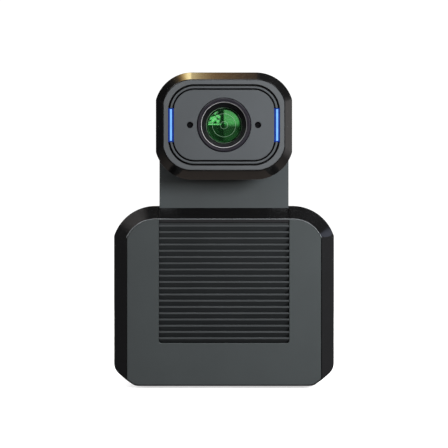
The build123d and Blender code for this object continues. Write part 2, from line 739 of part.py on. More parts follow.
def yoke_bracket():
    """Steel U bracket: foot plate, two arms that hold the tilt bushes, and the idler's stud."""
    plate = block(-PANEL_HALF_W, PANEL_HALF_W, NECK_FRONT, NECK_REAR, CHASSIS_TOP, NECK_BOTTOM)
    for side in (-1, 1):
        x0, x1 = sorted((side * ARM_X0, side * ARM_X1))
        arm = block(x0, x1, TILT_Y - ARM_R, TILT_Y + ARM_R, NECK_BOTTOM - 0.2, TILT_Z)
        arm += rod_x(x0, x1, TILT_Y, TILT_Z, ARM_R)
        arm -= rod_x(x0 - 1, x1 + 1, TILT_Y, TILT_Z, BUSH_R)
        plate += arm
    plate -= rod_x(ARM_X0 - 1, ARM_X1 + 1, TILT_Y, PINION_Z, 3.0)
    plate += rod_x(ARM_X1 - 0.2, GEAR_X1 + 0.5, TILT_Y, IDLER_Z, IDLER_PIN_R)
    cable_x = -PANEL_HALF_W + NECK_WALL
    plate -= block(cable_x, cable_x + 1.26, TILT_Y - 5, TILT_Y + 5, CHASSIS_TOP - 1, NECK_BOTTOM + 1)
    for x, y in YOKE_SCREWS:
        plate -= rod_z(CHASSIS_TOP - 1, NECK_BOTTOM + 1, x, y, FRAME_SCREW_R)
    return plate


def tilt_bushes():
    """Two flanged bushes that the trunnions turn in."""
    bushes = []
    for side in (-1, 1):
        x0, x1 = sorted((side * ARM_X0, side * ARM_X1))
        f0, f1 = sorted((side * ARM_X1, side * (ARM_X1 + 0.7)))
        bush = rod_x(x0, x1, TILT_Y, TILT_Z, BUSH_R) + rod_x(f0, f1, TILT_Y, TILT_Z, BUSH_R + 1.2)
        bushes.append(bush - rod_x(min(x0, f0) - 1, max(x1, f1) + 1, TILT_Y, TILT_Z, SHAFT_R + RUNNING))
    return Compound(children=bushes)


def tilt_motor():
    """Stepper motor on the inner face of the yoke arm."""
    x0 = ARM_X0 - MOTOR_LENGTH
    body = rod_x(x0, ARM_X0, TILT_Y, PINION_Z, MOTOR_R)
    body += block(ARM_X0 - 1, ARM_X0, TILT_Y - 15, TILT_Y + 15, PINION_Z - 3, PINION_Z + 3)
    return body - rod_x(ARM_X0 - 6, ARM_X0 + 1, TILT_Y, PINION_Z, 1.5 + RUNNING)


def ribbon_cable():
    """Flat cable from the main board, up the neck to the hollow left trunnion."""
    x0 = -PANEL_HALF_W + NECK_WALL + 0.3
    x1 = x0 + 0.3
    y0 = TILT_Y - 4
    run = block(x0, x1, y0, TILT_Y + 4, 90, TILT_Z + 2)
    return run + block(x0, x1, y0, MAIN_BOARD_Y, 90, 96)


# ---- tilt gears ---------------------------------------------------------------------------
def gear_x(outline, z):
    """Gear outline, drawn in Y and Z about the tilt axis column, swept along X."""
    plane = Plane(origin=(GEAR_X0, TILT_Y, z), x_dir=(0, 1, 0), z_dir=(1, 0, 0))
    return extrude(plane * outline, amount=GEAR_X1 - GEAR_X0)


def tilt_sector_gear():
    """Toothed sector that hangs below the right trunnion."""
    down = -pi / 2
    span = radians(SECTOR_HALF_DEG)
    pitch = 2 * pi / SECTOR_TEETH
    count = int(span / pitch)
    outline = gear(TILT_MODULE, SECTOR_TEETH, down, -count, count + 1)
    reach = SECTOR_TEETH * TILT_MODULE
    wedge = make_face(
        Polyline(
            (0, 0),
            (reach * sin(-span), -reach * cos(span)),
            (reach * sin(span), -reach * cos(span)),
            close=True,
        ).edges()
    )
    outline = (outline & wedge) + Circle(8.0)
    return gear_x(outline, TILT_Z) - rod_x(GEAR_X0 - 1, GEAR_X1 + 1, TILT_Y, TILT_Z, SHAFT_R)


def tilt_idler_gear():
    """Idler between the sector and the motor pinion, a tooth gap facing straight up."""
    half_gap = pi / IDLER_TEETH
    outline = gear(TILT_MODULE, IDLER_TEETH, pi / 2 + half_gap)
    bore = rod_x(GEAR_X0 - 1, GEAR_X1 + 1, TILT_Y, IDLER_Z, IDLER_PIN_R + RUNNING)
    return gear_x(outline, IDLER_Z) - bore


def tilt_pinion():
    """Motor pinion on its shaft, a tooth facing straight up."""
    outline = gear(TILT_MODULE, PINION_TEETH, pi / 2)
    shaft = rod_x(ARM_X0 - 5, GEAR_X1 + 0.4, TILT_Y, PINION_Z, 1.5)
    return gear_x(outline, PINION_Z) + shaft


# ---- head housing -------------------------------------------------------------------------
def head_bezel():
    """Glossy front frame of the head with its bevel and the pocket for the face."""
    widest = head_outline(HEAD_HALF_W, HEAD_HALF_H, HEAD_CORNER_X, HEAD_CORNER_R)
    front_end = HEAD_FRONT + HEAD_BEVEL_DEPTH
    body = taper(face_edge(0), HEAD_FRONT, widest, front_end) + prism(widest, front_end, BEZEL_REAR)
    body -= prism(face_edge(0.35), HEAD_FRONT - 1, POCKET_FLOOR)
    body -= prism(face_edge(0.1), FLOOR_REAR, BEZEL_REAR + 1)
    body -= rod_y(HEAD_FRONT - 1, 0, 0, LENS_Z, TRIM_R + 0.1)
    return body - light_bar_band(0.1, POCKET_FLOOR - 1, FLOOR_REAR + 1)


def light_bar_band(grow, y0, y1):
    """Both light bars: the ring band cut off above and below."""
    band = prism(ring_outline(RIM_INNER_R - 0.06 + grow), y0, y1)
    band -= prism(ring_outline(PANEL_R + 0.06 - grow), y0 - 1, y1 + 1)
    half_h = LIGHT_BAR_HALF_H + grow
    return band & block(-60, 60, y0, y1, TILT_Z - half_h, TILT_Z + half_h)


def face_rim():
    """Flat rim between the bevel and the outer groove."""
    rim = prism(face_edge(0.45), HEAD_FRONT, POCKET_FLOOR)
    return rim - prism(ring_outline(RIM_INNER_R), HEAD_FRONT - 1, POCKET_FLOOR + 1)


def face_ring():
    """Raised land between the two grooves, notched where the light bars pass."""
    ring = prism(ring_outline(LAND_OUTER_R), HEAD_FRONT + 0.15, POCKET_FLOOR)
    ring -= prism(ring_outline(LAND_INNER_R), HEAD_FRONT - 1, POCKET_FLOOR + 1)
    gap = LIGHT_BAR_HALF_H + 0.1
    ring -= block(-60, 60, HEAD_FRONT - 1, POCKET_FLOOR + 1, TILT_Z - gap, TILT_Z + gap)
    return Compound(children=list(ring.solids()))


def face_panel():
    """Flat centre of the face with the lens hole and the two sensor holes."""
    panel = prism(ring_outline(PANEL_R), HEAD_FRONT, POCKET_FLOOR)
    panel -= rod_y(HEAD_FRONT - 1, 0, 0, LENS_Z, TRIM_R + 0.1)
    for side in (-1, 1):
        panel -= rod_y(HEAD_FRONT - 1, POCKET_FLOOR + 1, side * SENSOR_X, LENS_Z, SENSOR_HOLE_R)
    return panel


def sensor_windows():
    """Dark sensor windows at the bottom of their holes."""
    windows = []
    for side in (-1, 1):
        windows.append(rod_y(HEAD_FRONT + 1.0, POCKET_FLOOR, side * SENSOR_X, LENS_Z, SENSOR_HOLE_R - 0.05))
    return Compound(children=windows)


def led_light_bars():
    """Two light guides standing in the outer band of the face."""
    bars = light_bar_band(0, HEAD_FRONT + 0.1, FLOOR_REAR + 0.6)
    return Compound(children=list(bars.solids()))


def led_boards():
    """Small boards behind the light guides."""
    boards = []
    for side in (-1, 1):
        x0, x1 = sorted((side * 30.5, side * 36.5))
        y0 = FLOOR_REAR + 0.6
        boards.append(block(x0, x1, y0, y0 + 1.0, TILT_Z - 12, TILT_Z + 12))
    return Compound(children=boards)


def head_body(inset):
    """Body behind the bezel: a taper, a throat and a drum about the tilt axis."""
    wide_r = HEAD_CORNER_R - 0.6 - inset * 2
    wide = head_outline(HEAD_CORNER_X + wide_r * 0.962, HEAD_CORNER_Z + wide_r, HEAD_CORNER_X, wide_r)
    w = THROAT_HALF_W - inset
    h = THROAT_HALF_H - inset
    r = THROAT_CORNER_R - inset / 2
    throat = head_outline(w, h, w - r, r)
    body = taper(wide, BEZEL_REAR, throat, THROAT_Y) + prism(throat, THROAT_Y, TILT_Y)
    return body + rod_x(-w, w, TILT_Y, TILT_Z, DRUM_R - inset)


def head_whole():
    """Hollow head behind the bezel, with its screw posts, before it is split."""
    shell = head_body(0) - head_body(HEAD_WALL)
    for x, z in head_screw_spots():
        boss = rod_y(TILT_Y - 12, TILT_Y + 20, x, z, 2.2)
        outward = 8 if z > TILT_Z else -8
        z0, z1 = sorted((z, z + outward))
        boss += block(x - 0.8, x + 0.8, TILT_Y - 12, TILT_Y, z0, z1)
        shell += boss & head_body(0.4)
    shell -= rod_x(-50, 50, TILT_Y, TILT_Z, SHAFT_R)
    return shell


def head_screw_spots():
    """The four screw places of the head, as x and z."""
    spots = []
    for side in (-1, 1):
        for up in (-1, 1):
            spots.append((side * HEAD_SCREW_X, TILT_Z + up * HEAD_SCREW_Z))
    return spots


def head_mid_shell():
    """Head body between the bezel and the tilt axis."""
    shell = head_whole() & block(-80, 80, BEZEL_REAR, TILT_Y, 0, 250)
    for x, z in head_screw_spots():
        shell -= rod_y(TILT_Y - 9, TILT_Y + 1, x, z, 1.0)
    return shell


def head_seat_y():
    """Depth of the screw seats in the drum."""
    return TILT_Y + sqrt(DRUM_R ** 2 - (HEAD_SCREW_Z + 1.8) ** 2) - 2.0


def head_rear_cover():
    """Rear half of the drum."""
    shell = head_whole() & block(-80, 80, TILT_Y, TILT_Y + 30, 0, 250)
    seat = head_seat_y()
    for x, z in head_screw_spots():
        shell -= rod_y(TILT_Y - 1, TILT_Y + 30, x, z, 1.0)
        shell -= rod_y(seat, TILT_Y + 30, x, z, 1.8)
    return shell


def head_screws():
    """Four screws that close the drum."""
    seat = head_seat_y()
    screws = []
    for x, z in head_screw_spots():
        head = rod_y(seat, seat + 1.3, x, z, 1.7) - hex_key(seat + 1.3, 0.8, x, z, 0.9)
        screws.append(rod_y(TILT_Y - 7, seat, x, z, 1.0) + head)
    return Compound(children=screws)


def trunnions():
    """Two hollow flanged stub shafts that carry the head in the yoke."""
    stubs = []
    inner = THROAT_HALF_W - HEAD_WALL
    for side in (-1, 1):
        f0, f1 = sorted((side * (inner - 1.5), side * inner))
        s0, s1 = sorted((side * inner, side * (GEAR_X1 + 0.4)))
        stub = rod_x(f0, f1, TILT_Y, TILT_Z, 7.5) + rod_x(s0, s1, TILT_Y, TILT_Z, SHAFT_R)
        stubs.append(stub - rod_x(min(f0, s0) - 1, max(f1, s1) + 1, TILT_Y, TILT_Z, 3.0))
    return Compound(children=stubs)


def trunnion_clip():
    """Retaining ring on the left trunnion."""
    ring = rod_x(-GEAR_X0 - 1, -GEAR_X0, TILT_Y, TILT_Z, 6.8)
    return ring - rod_x(-GEAR_X0 - 2, -GEAR_X0 + 1, TILT_Y, TILT_Z, SHAFT_R)


# ---- lens ---------------------------------------------------------------------------------
def lens_trim_ring():
    """Satin ring around the lens with a thin raised inner lip."""
    points = [
        (TRIM_R, HEAD_FRONT - 0.1),
        (TRIM_R - 0.4, HEAD_FRONT - 0.5),
        (TRIM_INNER_R + 0.5, HEAD_FRONT - 0.5),
        (TRIM_INNER_R, HEAD_FRONT - 0.1),
        (TRIM_INNER_R, FLOOR_REAR + 2),
        (TRIM_R, FLOOR_REAR + 2),
    ]
    return turned(points, 0, LENS_Z)


def lens_front_cell():
    """Black stepped cone that holds the front glass."""
    r = TRIM_INNER_R - 0.05
    points = [(r, HEAD_FRONT + 0.4), (r - 0.5, HEAD_FRONT + 0.3)]
    steps = 4
    depth = 0.75
    for n in range(steps):
        radius = r - 0.9 - n * (r - 0.9 - FRONT_GLASS_R - 0.3) / (steps - 1)
        points.append((radius + 0.35, HEAD_FRONT + 0.5 + n * depth))
        points.append((radius, HEAD_FRONT + 0.5 + (n + 1) * depth))
    points.append((FRONT_GLASS_R, HEAD_FRONT + 3.6))
    points.append((FRONT_GLASS_R, BARREL_FRONT))
    points.append((r, BARREL_FRONT))
    return turned(points, 0, LENS_Z)


def lens_glass(r, front, rear, bulge_front, bulge_rear):
    """Glass disc whose two faces are spherical; a negative bulge is hollow."""
    front_arc = ThreePointArc((-r, front), (0, front - bulge_front), (r, front))
    rear_arc = ThreePointArc((r, rear), (0, rear + bulge_rear), (-r, rear))
    near_edge = Line(front_arc @ 1, rear_arc @ 0)
    far_edge = Line(rear_arc @ 1, front_arc @ 0)
    whole = make_face(Curve() + [front_arc, near_edge, rear_arc, far_edge])
    half = whole & (Pos(r, (front + rear) / 2) * Rectangle(2 * r, 60))
    plane = Plane(origin=(0, 0, LENS_Z), x_dir=(1, 0, 0), z_dir=(0, 0, 1))
    return revolve(plane * half, Axis((0, 0, LENS_Z), (0, 1, 0)), 360)


def front_element():
    """Domed front glass."""
    return lens_glass(FRONT_GLASS_R, HEAD_FRONT + 3.9, BARREL_FRONT - 0.1, 2.6, -1.0)


def lens_barrel():
    """Fixed tube with two straight slots for the zoom follower pins."""
    barrel = tube_y(BARREL_FRONT, BARREL_REAR, 0, LENS_Z, BARREL_BORE_R, BARREL_R)
    y0 = ZOOM_Y - ZOOM_PIN_R - 0.2
    y1 = ZOOM_Y + ZOOM_TRAVEL + ZOOM_PIN_R + 0.2
    half_w = ZOOM_PIN_R + 0.1
    return barrel - block(-half_w, half_w, y0, y1, LENS_Z - 20, LENS_Z + 20)


def cam_slot(top):
    """Slanted slot through the cam ring, seen from its middle angle."""
    half_turn = CAM_TURN_DEG / 2
    mean_r = (CAM_R0 + CAM_R1) / 2
    reach = mean_r * sin(radians(half_turn))
    rise = ZOOM_TRAVEL / 2
    length = 2 * hypot(reach, rise) + 3.4
    slope = degrees(atan2(rise, reach))
    cutter = Rot(0, 0, slope) * Box(length, 3.4, 8)
    mid_angle = 0 if top else 180
    lift = Pos(0, ZOOM_Y + rise, mean_r)
    return Pos(0, 0, LENS_Z) * Rot(0, half_turn + mid_angle, 0) * lift * cutter


def gear_y(outline, x, y0, y1):
    """Gear outline, drawn in X and Z about a line along Y."""
    return prism(Pos(x, LENS_Z) * outline, y0, y1)


def zoom_cam_ring():
    """Cam ring around the barrel with two slanted slots and a toothed sector on its right."""
    ring = tube_y(CAM_FRONT, CAM_REAR, 0, LENS_Z, CAM_R0, CAM_R1)
    for top in (True, False):
        ring -= cam_slot(top)
    pitch = 2 * pi / CAM_TEETH
    count = 4
    teeth = gear(ZOOM_MODULE, CAM_TEETH, -radians(CAM_TURN_DEG / 2), -count, count + 1)
    toothed = gear_y(teeth, 0, CAM_REAR - ZOOM_GEAR_W, CAM_REAR)
    toothed -= rod_y(CAM_FRONT, BARREL_REAR, 0, LENS_Z, CAM_R1 - 0.3)
    sector = block(9, 20, CAM_REAR - ZOOM_GEAR_W, CAM_REAR, LENS_Z - 18, LENS_Z + 6.5)
    return ring + (toothed & sector)


def zoom_pinion():
    """Small pinion on the zoom motor's shaft."""
    tooth_facing = pi
    gap = pi / ZOOM_PINION_TEETH
    swing = radians(CAM_TURN_DEG / 2)
    pitch_cam = 2 * pi / CAM_TEETH
    offset = (swing / pitch_cam) % 1.0
    phase = tooth_facing + gap + offset * 2 * gap
    teeth = gear(ZOOM_MODULE, ZOOM_PINION_TEETH, phase)
    y0 = CAM_REAR - ZOOM_GEAR_W
    return gear_y(teeth, ZOOM_AXIS_X, y0, CAM_REAR) + rod_y(CAM_REAR - 0.2, -26, ZOOM_AXIS_X, LENS_Z, 0.8)


def lens_mount_plate():
    """Plate across the throat that carries the barrel, the zoom motor and the sensor board."""
    half_w = THROAT_HALF_W - HEAD_WALL
    plate = block(-half_w, half_w, LENS_PLATE_Y0, LENS_PLATE_Y1, LENS_Z - 15, LENS_Z + 15)
    plate -= rod_y(LENS_PLATE_Y0 - 1, LENS_PLATE_Y1 + 1, 0, LENS_Z, BARREL_R)
    plate -= rod_y(LENS_PLATE_Y0 - 1, LENS_PLATE_Y1 + 1, ZOOM_AXIS_X, LENS_Z, 1.6)
    for sx in (-1, 1):
        for sz in (-1, 1):
            plate += rod_y(LENS_PLATE_Y1 - 0.2, SENSOR_BOARD_Y0, sx * POST_X, LENS_Z + sz * POST_Z, 1.6)
    return plate


def zoom_motor():
    """Small motor behind the mount plate."""
    motor = rod_y(LENS_PLATE_Y1, -18, ZOOM_AXIS_X, LENS_Z, 5.8)
    return motor - rod_y(LENS_PLATE_Y1 - 1, -25.8, ZOOM_AXIS_X, LENS_Z, 0.8 + RUNNING)


def zoom_carriage():
    """Zoom lens holder with two follower pins through the barrel slots into the cam."""
    ring = tube_y(ZOOM_Y - 3, ZOOM_Y + 3, 0, LENS_Z, 9.0, BARREL_BORE_R - 0.08)
    for side in (-1, 1):
        z0, z1 = sorted((LENS_Z + side * (BARREL_BORE_R - 1), LENS_Z + side * (CAM_R1 - 0.5)))
        ring += rod_z(z0, z1, 0, ZOOM_Y, ZOOM_PIN_R)
    return ring


def zoom_element():
    """Hollow glass of the zoom carriage."""
    return lens_glass(9.0, ZOOM_Y - 1.6, ZOOM_Y + 1.6, -0.9, -0.9)


def focus_carriage():
    """Focus lens holder with its coil former."""
    ring = tube_y(-27, -23, 0, LENS_Z, 9.0, BARREL_BORE_R - 0.08)
    return ring + tube_y(-23.2, -17, 0, LENS_Z, 10.7, 11.4)


def focus_element():
    """Glass of the focus carriage."""
    return lens_glass(9.0, -26.2, -24.4, 1.2, 0.6)


def focus_magnet():
    """Ring magnet fixed in the barrel around the focus coil."""
    return tube_y(-18.4, -11, 0, LENS_Z, 11.7, BARREL_BORE_R)


def rear_lens_cell():
    """Fixed cell with its flange at the back of the barrel."""
    cell = tube_y(-16, -9, 0, LENS_Z, 7.5, 10.3)
    return cell + tube_y(-11, -9, 0, LENS_Z, 10.1, BARREL_BORE_R)


def image_sensor():
    """Image sensor chip."""
    return block(-4.6, 4.6, -7.8, SENSOR_BOARD_Y0, LENS_Z - 3.6, LENS_Z + 3.6)


def sensor_board():
    """Circuit board behind the lens."""
    return block(-20, 20, SENSOR_BOARD_Y0, SENSOR_BOARD_Y1, LENS_Z - 15, LENS_Z + 15)


NODES = {
    "base_front_shell": base_front_shell,
    "base_face_plate": base_face_plate,
    "bevel_centre_strip": bevel_centre_strip,
    "rib_grille": rib_grille,
    "base_rear_shell": base_rear_shell,
    "rear_io_panel": rear_io_panel,
    "case_screws": case_screws,
    "rubber_feet": rubber_feet,
    "tripod_insert": tripod_insert,
    "bracket_inserts": bracket_inserts,
    "chassis_frame": chassis_frame,
    "main_board": main_board,
    "frame_screws": frame_screws,
    "heat_sink": heat_sink,
    "processor_chip": processor_chip,
    "io_board": io_board,
    "ethernet_jack": ethernet_jack,
    "usb_jack": usb_jack,
    "hdmi_jack": hdmi_jack,
    "dc_power_jack": dc_power_jack,
    "reset_switch": reset_switch,
    "reset_button": reset_button,
    "yoke_bracket": yoke_bracket,
    "neck_front_cover": neck_front_cover,
    "neck_rear_cover": neck_rear_cover,
    "neck_screws": neck_screws,
    "tilt_bushes": tilt_bushes,
    "tilt_motor": tilt_motor,
    "ribbon_cable": ribbon_cable,
    "tilt_sector_gear": tilt_sector_gear,
    "tilt_idler_gear": tilt_idler_gear,
    "tilt_pinion": tilt_pinion,
    "head_bezel": head_bezel,
    "face_rim": face_rim,
    "face_ring": face_ring,
    "face_panel": face_panel,
    "sensor_windows": sensor_windows,
    "led_light_bars": led_light_bars,
    "led_boards": led_boards,
    "head_mid_shell": head_mid_shell,
    "head_rear_cover": head_rear_cover,
    "head_screws": head_screws,
    "trunnions": trunnions,
    "trunnion_clip": trunnion_clip,
    "lens_trim_ring": lens_trim_ring,
    "lens_front_cell": lens_front_cell,
    "front_element": front_element,
    "lens_barrel": lens_barrel,
    "lens_mount_plate": lens_mount_plate,
    "zoom_cam_ring": zoom_cam_ring,
    "zoom_pinion": zoom_pinion,
    "zoom_motor": zoom_motor,
    "zoom_carriage": zoom_carriage,
    "zoom_element": zoom_element,
    "focus_carriage": focus_carriage,
    "focus_element": focus_element,
    "focus_magnet": focus_magnet,
    "rear_lens_cell": rear_lens_cell,
    "image_sensor": image_sensor,
    "sensor_board": sensor_board,
}

os.makedirs("parts", exist_ok=True)
for name, make in NODES.items():
    export_step(make(), f"parts/{name}.step")
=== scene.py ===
import bmesh
import bpy
import json
from math import acos, cos, pi, radians, sin, sqrt
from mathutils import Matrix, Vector


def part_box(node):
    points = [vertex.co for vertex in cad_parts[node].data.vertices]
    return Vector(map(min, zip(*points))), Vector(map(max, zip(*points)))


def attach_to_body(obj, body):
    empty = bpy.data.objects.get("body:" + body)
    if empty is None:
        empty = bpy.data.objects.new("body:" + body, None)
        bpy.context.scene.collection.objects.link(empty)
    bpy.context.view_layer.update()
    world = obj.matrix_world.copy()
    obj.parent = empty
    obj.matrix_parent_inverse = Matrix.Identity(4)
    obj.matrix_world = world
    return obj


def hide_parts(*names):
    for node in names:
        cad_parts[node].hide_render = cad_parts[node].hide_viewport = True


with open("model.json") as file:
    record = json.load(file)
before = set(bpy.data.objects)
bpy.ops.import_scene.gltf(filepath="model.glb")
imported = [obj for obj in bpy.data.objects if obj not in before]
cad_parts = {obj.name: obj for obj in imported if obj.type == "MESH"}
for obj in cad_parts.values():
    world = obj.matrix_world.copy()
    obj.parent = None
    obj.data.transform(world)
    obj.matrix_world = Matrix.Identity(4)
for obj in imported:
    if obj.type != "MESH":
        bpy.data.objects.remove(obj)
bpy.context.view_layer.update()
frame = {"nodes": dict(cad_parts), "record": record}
MM = 0.001

# ---- places read from the frame ------------------------------------------------------------
BASE_LO, BASE_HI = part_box("base_front_shell")
PLATE_LO, PLATE_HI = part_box("base_face_plate")
NECK_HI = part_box("neck_front_cover")[1]
BEZEL_LO, BEZEL_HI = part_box("head_bezel")
BARS_LO, BARS_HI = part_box("led_light_bars")
TRIM_LO, TRIM_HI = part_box("lens_trim_ring")
GLASS_LO, GLASS_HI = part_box("front_element")
FLOOR_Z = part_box("rubber_feet")[0].z
LENS_Z = (TRIM_LO.z + TRIM_HI.z) / 2

# ---- camera: level, straight in front of the base --------------------------------------------
CAMERA_DISTANCE = 0.900
CAMERA_HEIGHT = 0.1037
FRAME_WIDTH = 0.28672  # width of the view at the base's front
SENSOR_MM = 36.0


# ---- node helpers --------------------------------------------------------------------------
class Nodes:
    """Short way to build one material's node tree."""

    def __init__(self, name):
        self.material = bpy.data.materials.new(name)
        self.material.use_nodes = True
        self.tree = self.material.node_tree
        self.tree.nodes.clear()
        self.output = self.add("ShaderNodeOutputMaterial")

    def add(self, kind, **settings):
        node = self.tree.nodes.new(kind)
        for name, value in settings.items():
            setattr(node, name, value)
        return node

    def link(self, source, target):
        self.tree.links.new(source, target)

    def place(self):
        """Object coordinates, in metres of the shared frame."""
        return self.add("ShaderNodeTexCoord").outputs["Object"]

    def noise(self, scale, detail=4.0, roughness=0.55, vector=None):
        node = self.add("ShaderNodeTexNoise")
        node.inputs["Scale"].default_value = scale
        node.inputs["Detail"].default_value = detail
        node.inputs["Roughness"].default_value = roughness
        self.link(vector or self.place(), node.inputs["Vector"])
        return node.outputs["Fac"]

    def ramp(self, source, stops):
        """Colour ramp through (position, colour) stops."""
        node = self.add("ShaderNodeValToRGB")
        while len(node.color_ramp.elements) < len(stops):
            node.color_ramp.elements.new(0.5)
        for element, (position, colour) in zip(node.color_ramp.elements, stops):
            element.position = position
            element.color = (*colour, 1.0)
        self.link(source, node.inputs["Fac"])
        return node.outputs["Color"]

    def span(self, source, low, high):
        """Value from 0 to 1 mapped to low to high."""
        node = self.add("ShaderNodeMapRange")
        node.inputs["To Min"].default_value = low
        node.inputs["To Max"].default_value = high
        self.link(source, node.inputs["Value"])
        return node.outputs["Result"]

    def fade(self, source, start, end, interpolation="SMOOTHSTEP"):
        """0 where the value is at start, 1 where it is at end."""
        node = self.add("ShaderNodeMapRange", interpolation_type=interpolation)
        node.inputs["From Min"].default_value = start
        node.inputs["From Max"].default_value = end
        self.link(source, node.inputs["Value"])
        return node.outputs["Result"]

    def bump(self, source, distance):
        node = self.add("ShaderNodeBump")
        node.inputs["Strength"].default_value = 1.0
        node.inputs["Distance"].default_value = distance
        self.link(source, node.inputs["Height"])
        return node.outputs["Normal"]

    def surface(self, **values):
        """Principled shader with its plain sockets set, joined to the output."""
        node = self.add("ShaderNodeBsdfPrincipled")
        for key, value in values.items():
            node.inputs[key.replace("_", " ")].default_value = value
        self.link(node.outputs["BSDF"], self.output.inputs["Surface"])
        return node


def shades(colour, spread):
    """Three close shades of one colour for a ramp."""
    dark = tuple(c * (1 - spread) for c in colour)
    light = tuple(c * (1 + spread) for c in colour)
    return [(0.30, dark), (0.52, colour), (0.74, light)]


def moulded(name, colour, roughness, grain, depth, spread=0.06, coat=0.0, specular=0.5):
    """Moulded plastic: soft tone variation, fine spark-eroded grain and slight wear in the gloss."""
    n = Nodes(name)
    shader = n.surface(Specular_IOR_Level=specular, Coat_Weight=coat, Coat_Roughness=0.08)
    place = n.place()
    tone = n.noise(38.0, 5.0, 0.6, place)
    n.link(n.ramp(tone, shades(colour, spread)), shader.inputs["Base Color"])
    patches = n.noise(120.0, 3.0, 0.5, place)
    n.link(n.span(patches, roughness - 0.05, roughness + 0.06), shader.inputs["Roughness"])
    fine = n.noise(grain, 2.0, 0.5, place)
    n.link(n.bump(fine, depth), shader.inputs["Normal"])
    return n.material


def brushed(name, colour, roughness, stretch=(900.0, 900.0, 60.0)):
    """Metal with fine drawn lines along one axis."""
    n = Nodes(name)
    shader = n.surface(Metallic=1.0, Specular_IOR_Level=0.5)
    mapping = n.add("ShaderNodeMapping")
    mapping.inputs["Scale"].default_value = stretch
    n.link(n.place(), mapping.inputs["Vector"])
    lines = n.noise(1.0, 3.0, 0.6, mapping.outputs["Vector"])
    n.link(n.ramp(lines, shades(colour, 0.12)), shader.inputs["Base Color"])
    n.link(n.span(lines, roughness - 0.07, roughness + 0.10), shader.inputs["Roughness"])
    n.link(n.bump(lines, 0.00001), shader.inputs["Normal"])
    return n.material


def board_material():
    """Solder mask over faint copper tracks."""
    n = Nodes("board_mask")
    shader = n.surface(Roughness=0.35, Coat_Weight=0.3)
    brick = n.add("ShaderNodeTexBrick")
    brick.inputs["Scale"].default_value = 160.0
    brick.inputs["Mortar Size"].default_value = 0.06
    brick.inputs["Color1"].default_value = (0.012, 0.085, 0.035, 1)
    brick.inputs["Color2"].default_value = (0.016, 0.10, 0.042, 1)
    brick.inputs["Mortar"].default_value = (0.03, 0.17, 0.07, 1)
    n.link(n.place(), brick.inputs["Vector"])
    n.link(brick.outputs["Color"], shader.inputs["Base Color"])
    n.link(n.bump(brick.outputs["Fac"], 0.00002), shader.inputs["Normal"])
    return n.material


# ---- materials -----------------------------------------------------------------------------
# Moulded: colour, roughness, grain scale, grain depth in metres. Brushed: colour, roughness.
MATERIALS = {
    "case_gloss": moulded(
        "case_gloss", (0.0030, 0.0030, 0.0031), 0.16, 1500.0, 0.0000015, spread=0.10, coat=0.25
    ),
    "face_grey": moulded("face_grey", (0.0255, 0.0293, 0.0302), 0.48, 2600.0, 0.000012, spread=0.05),
    "grille_grey": moulded("grille_grey", (0.0235, 0.0258, 0.0272), 0.50, 2400.0, 0.000010),
    "strip_flat": moulded("strip_flat", (0.0085, 0.0085, 0.0092), 0.34, 1500.0, 0.000004, spread=0.08),
    "case_rear": moulded("case_rear", (0.026, 0.028, 0.030), 0.46, 2200.0, 0.000016, spread=0.07),
    "neck_satin": moulded("neck_satin", (0.0300, 0.0345, 0.0362), 0.42, 2600.0, 0.000010, spread=0.05),
    "panel_steel": moulded("panel_steel", (0.020, 0.020, 0.022), 0.55, 1800.0, 0.000030, spread=0.08),
    "sheet_steel": brushed("sheet_steel", (0.55, 0.56, 0.58), 0.34),
    "screw_steel": brushed("screw_steel", (0.10, 0.10, 0.105), 0.36, (400.0, 400.0, 400.0)),
    "foot_rubber": moulded(
        "foot_rubber", (0.012, 0.012, 0.012), 0.80, 1600.0, 0.00004, spread=0.10, specular=0.3
    ),
    "insert_brass": brushed("insert_brass", (0.62, 0.42, 0.16), 0.28),
    "board_green": board_material(),
    "sink_alu": brushed("sink_alu", (0.045, 0.046, 0.05), 0.42),
    "chip_black": moulded("chip_black", (0.012, 0.012, 0.013), 0.55, 1500.0, 0.00002),
    "jack_metal": brushed("jack_metal", (0.62, 0.61, 0.58), 0.26),
    "jack_plastic": moulded("jack_plastic", (0.012, 0.012, 0.012), 0.45, 1600.0, 0.00001),
    "button_grey": moulded("button_grey", (0.16, 0.165, 0.17), 0.42, 1600.0, 0.00001),
    "bush_polymer": moulded("bush_polymer", (0.62, 0.60, 0.52), 0.40, 900.0, 0.00001),
    "pinion_brass": brushed("pinion_brass", (0.62, 0.42, 0.16), 0.25),
    "motor_can": brushed("motor_can", (0.45, 0.45, 0.47), 0.30),
    "cable_flat": moulded("cable_flat", (0.32, 0.15, 0.03), 0.35, 600.0, 0.00001),
    "window_dark": moulded("window_dark", (0.0015, 0.0015, 0.002), 0.12, 800.0, 0.000001, specular=0.25),
    "light_blue": moulded("light_blue", (0.02, 0.08, 0.5), 0.3, 800.0, 0.000001),
    "trunnion_alu": brushed("trunnion_alu", (0.60, 0.61, 0.62), 0.30),
    "trim_dark": moulded(
        "trim_dark", (0.0095, 0.0085, 0.0115), 0.30, 1800.0, 0.000004, spread=0.08, specular=0.35
    ),
    "lens_black": moulded(
        "lens_black", (0.0035, 0.0035, 0.004), 0.36, 1800.0, 0.000006, spread=0.10, specular=0.22
    ),
    "lens_glass": moulded("lens_glass", (0.02, 0.05, 0.03), 0.05, 800.0, 0.0000005),
    "magnet": brushed("magnet", (0.30, 0.30, 0.31), 0.30),
}
HEAD_FACE = moulded("head_face", (0.0355, 0.0388, 0.0418), 0.46, 2600.0, 0.000010, spread=0.05)
# The rim takes a lighter copy of the head face's grey: a painted highlight for the bright lines along its
# edges.
RIM_FACE_PAINTED_LIGHT = moulded("rim_face_painted_light", (0.0430, 0.0462, 0.0490), 0.42, 2600.0, 0.000010, spread=0.05)
NODE_MATERIALS = {"face_rim": RIM_FACE_PAINTED_LIGHT, "face_ring": HEAD_FACE, "face_panel": HEAD_FACE}


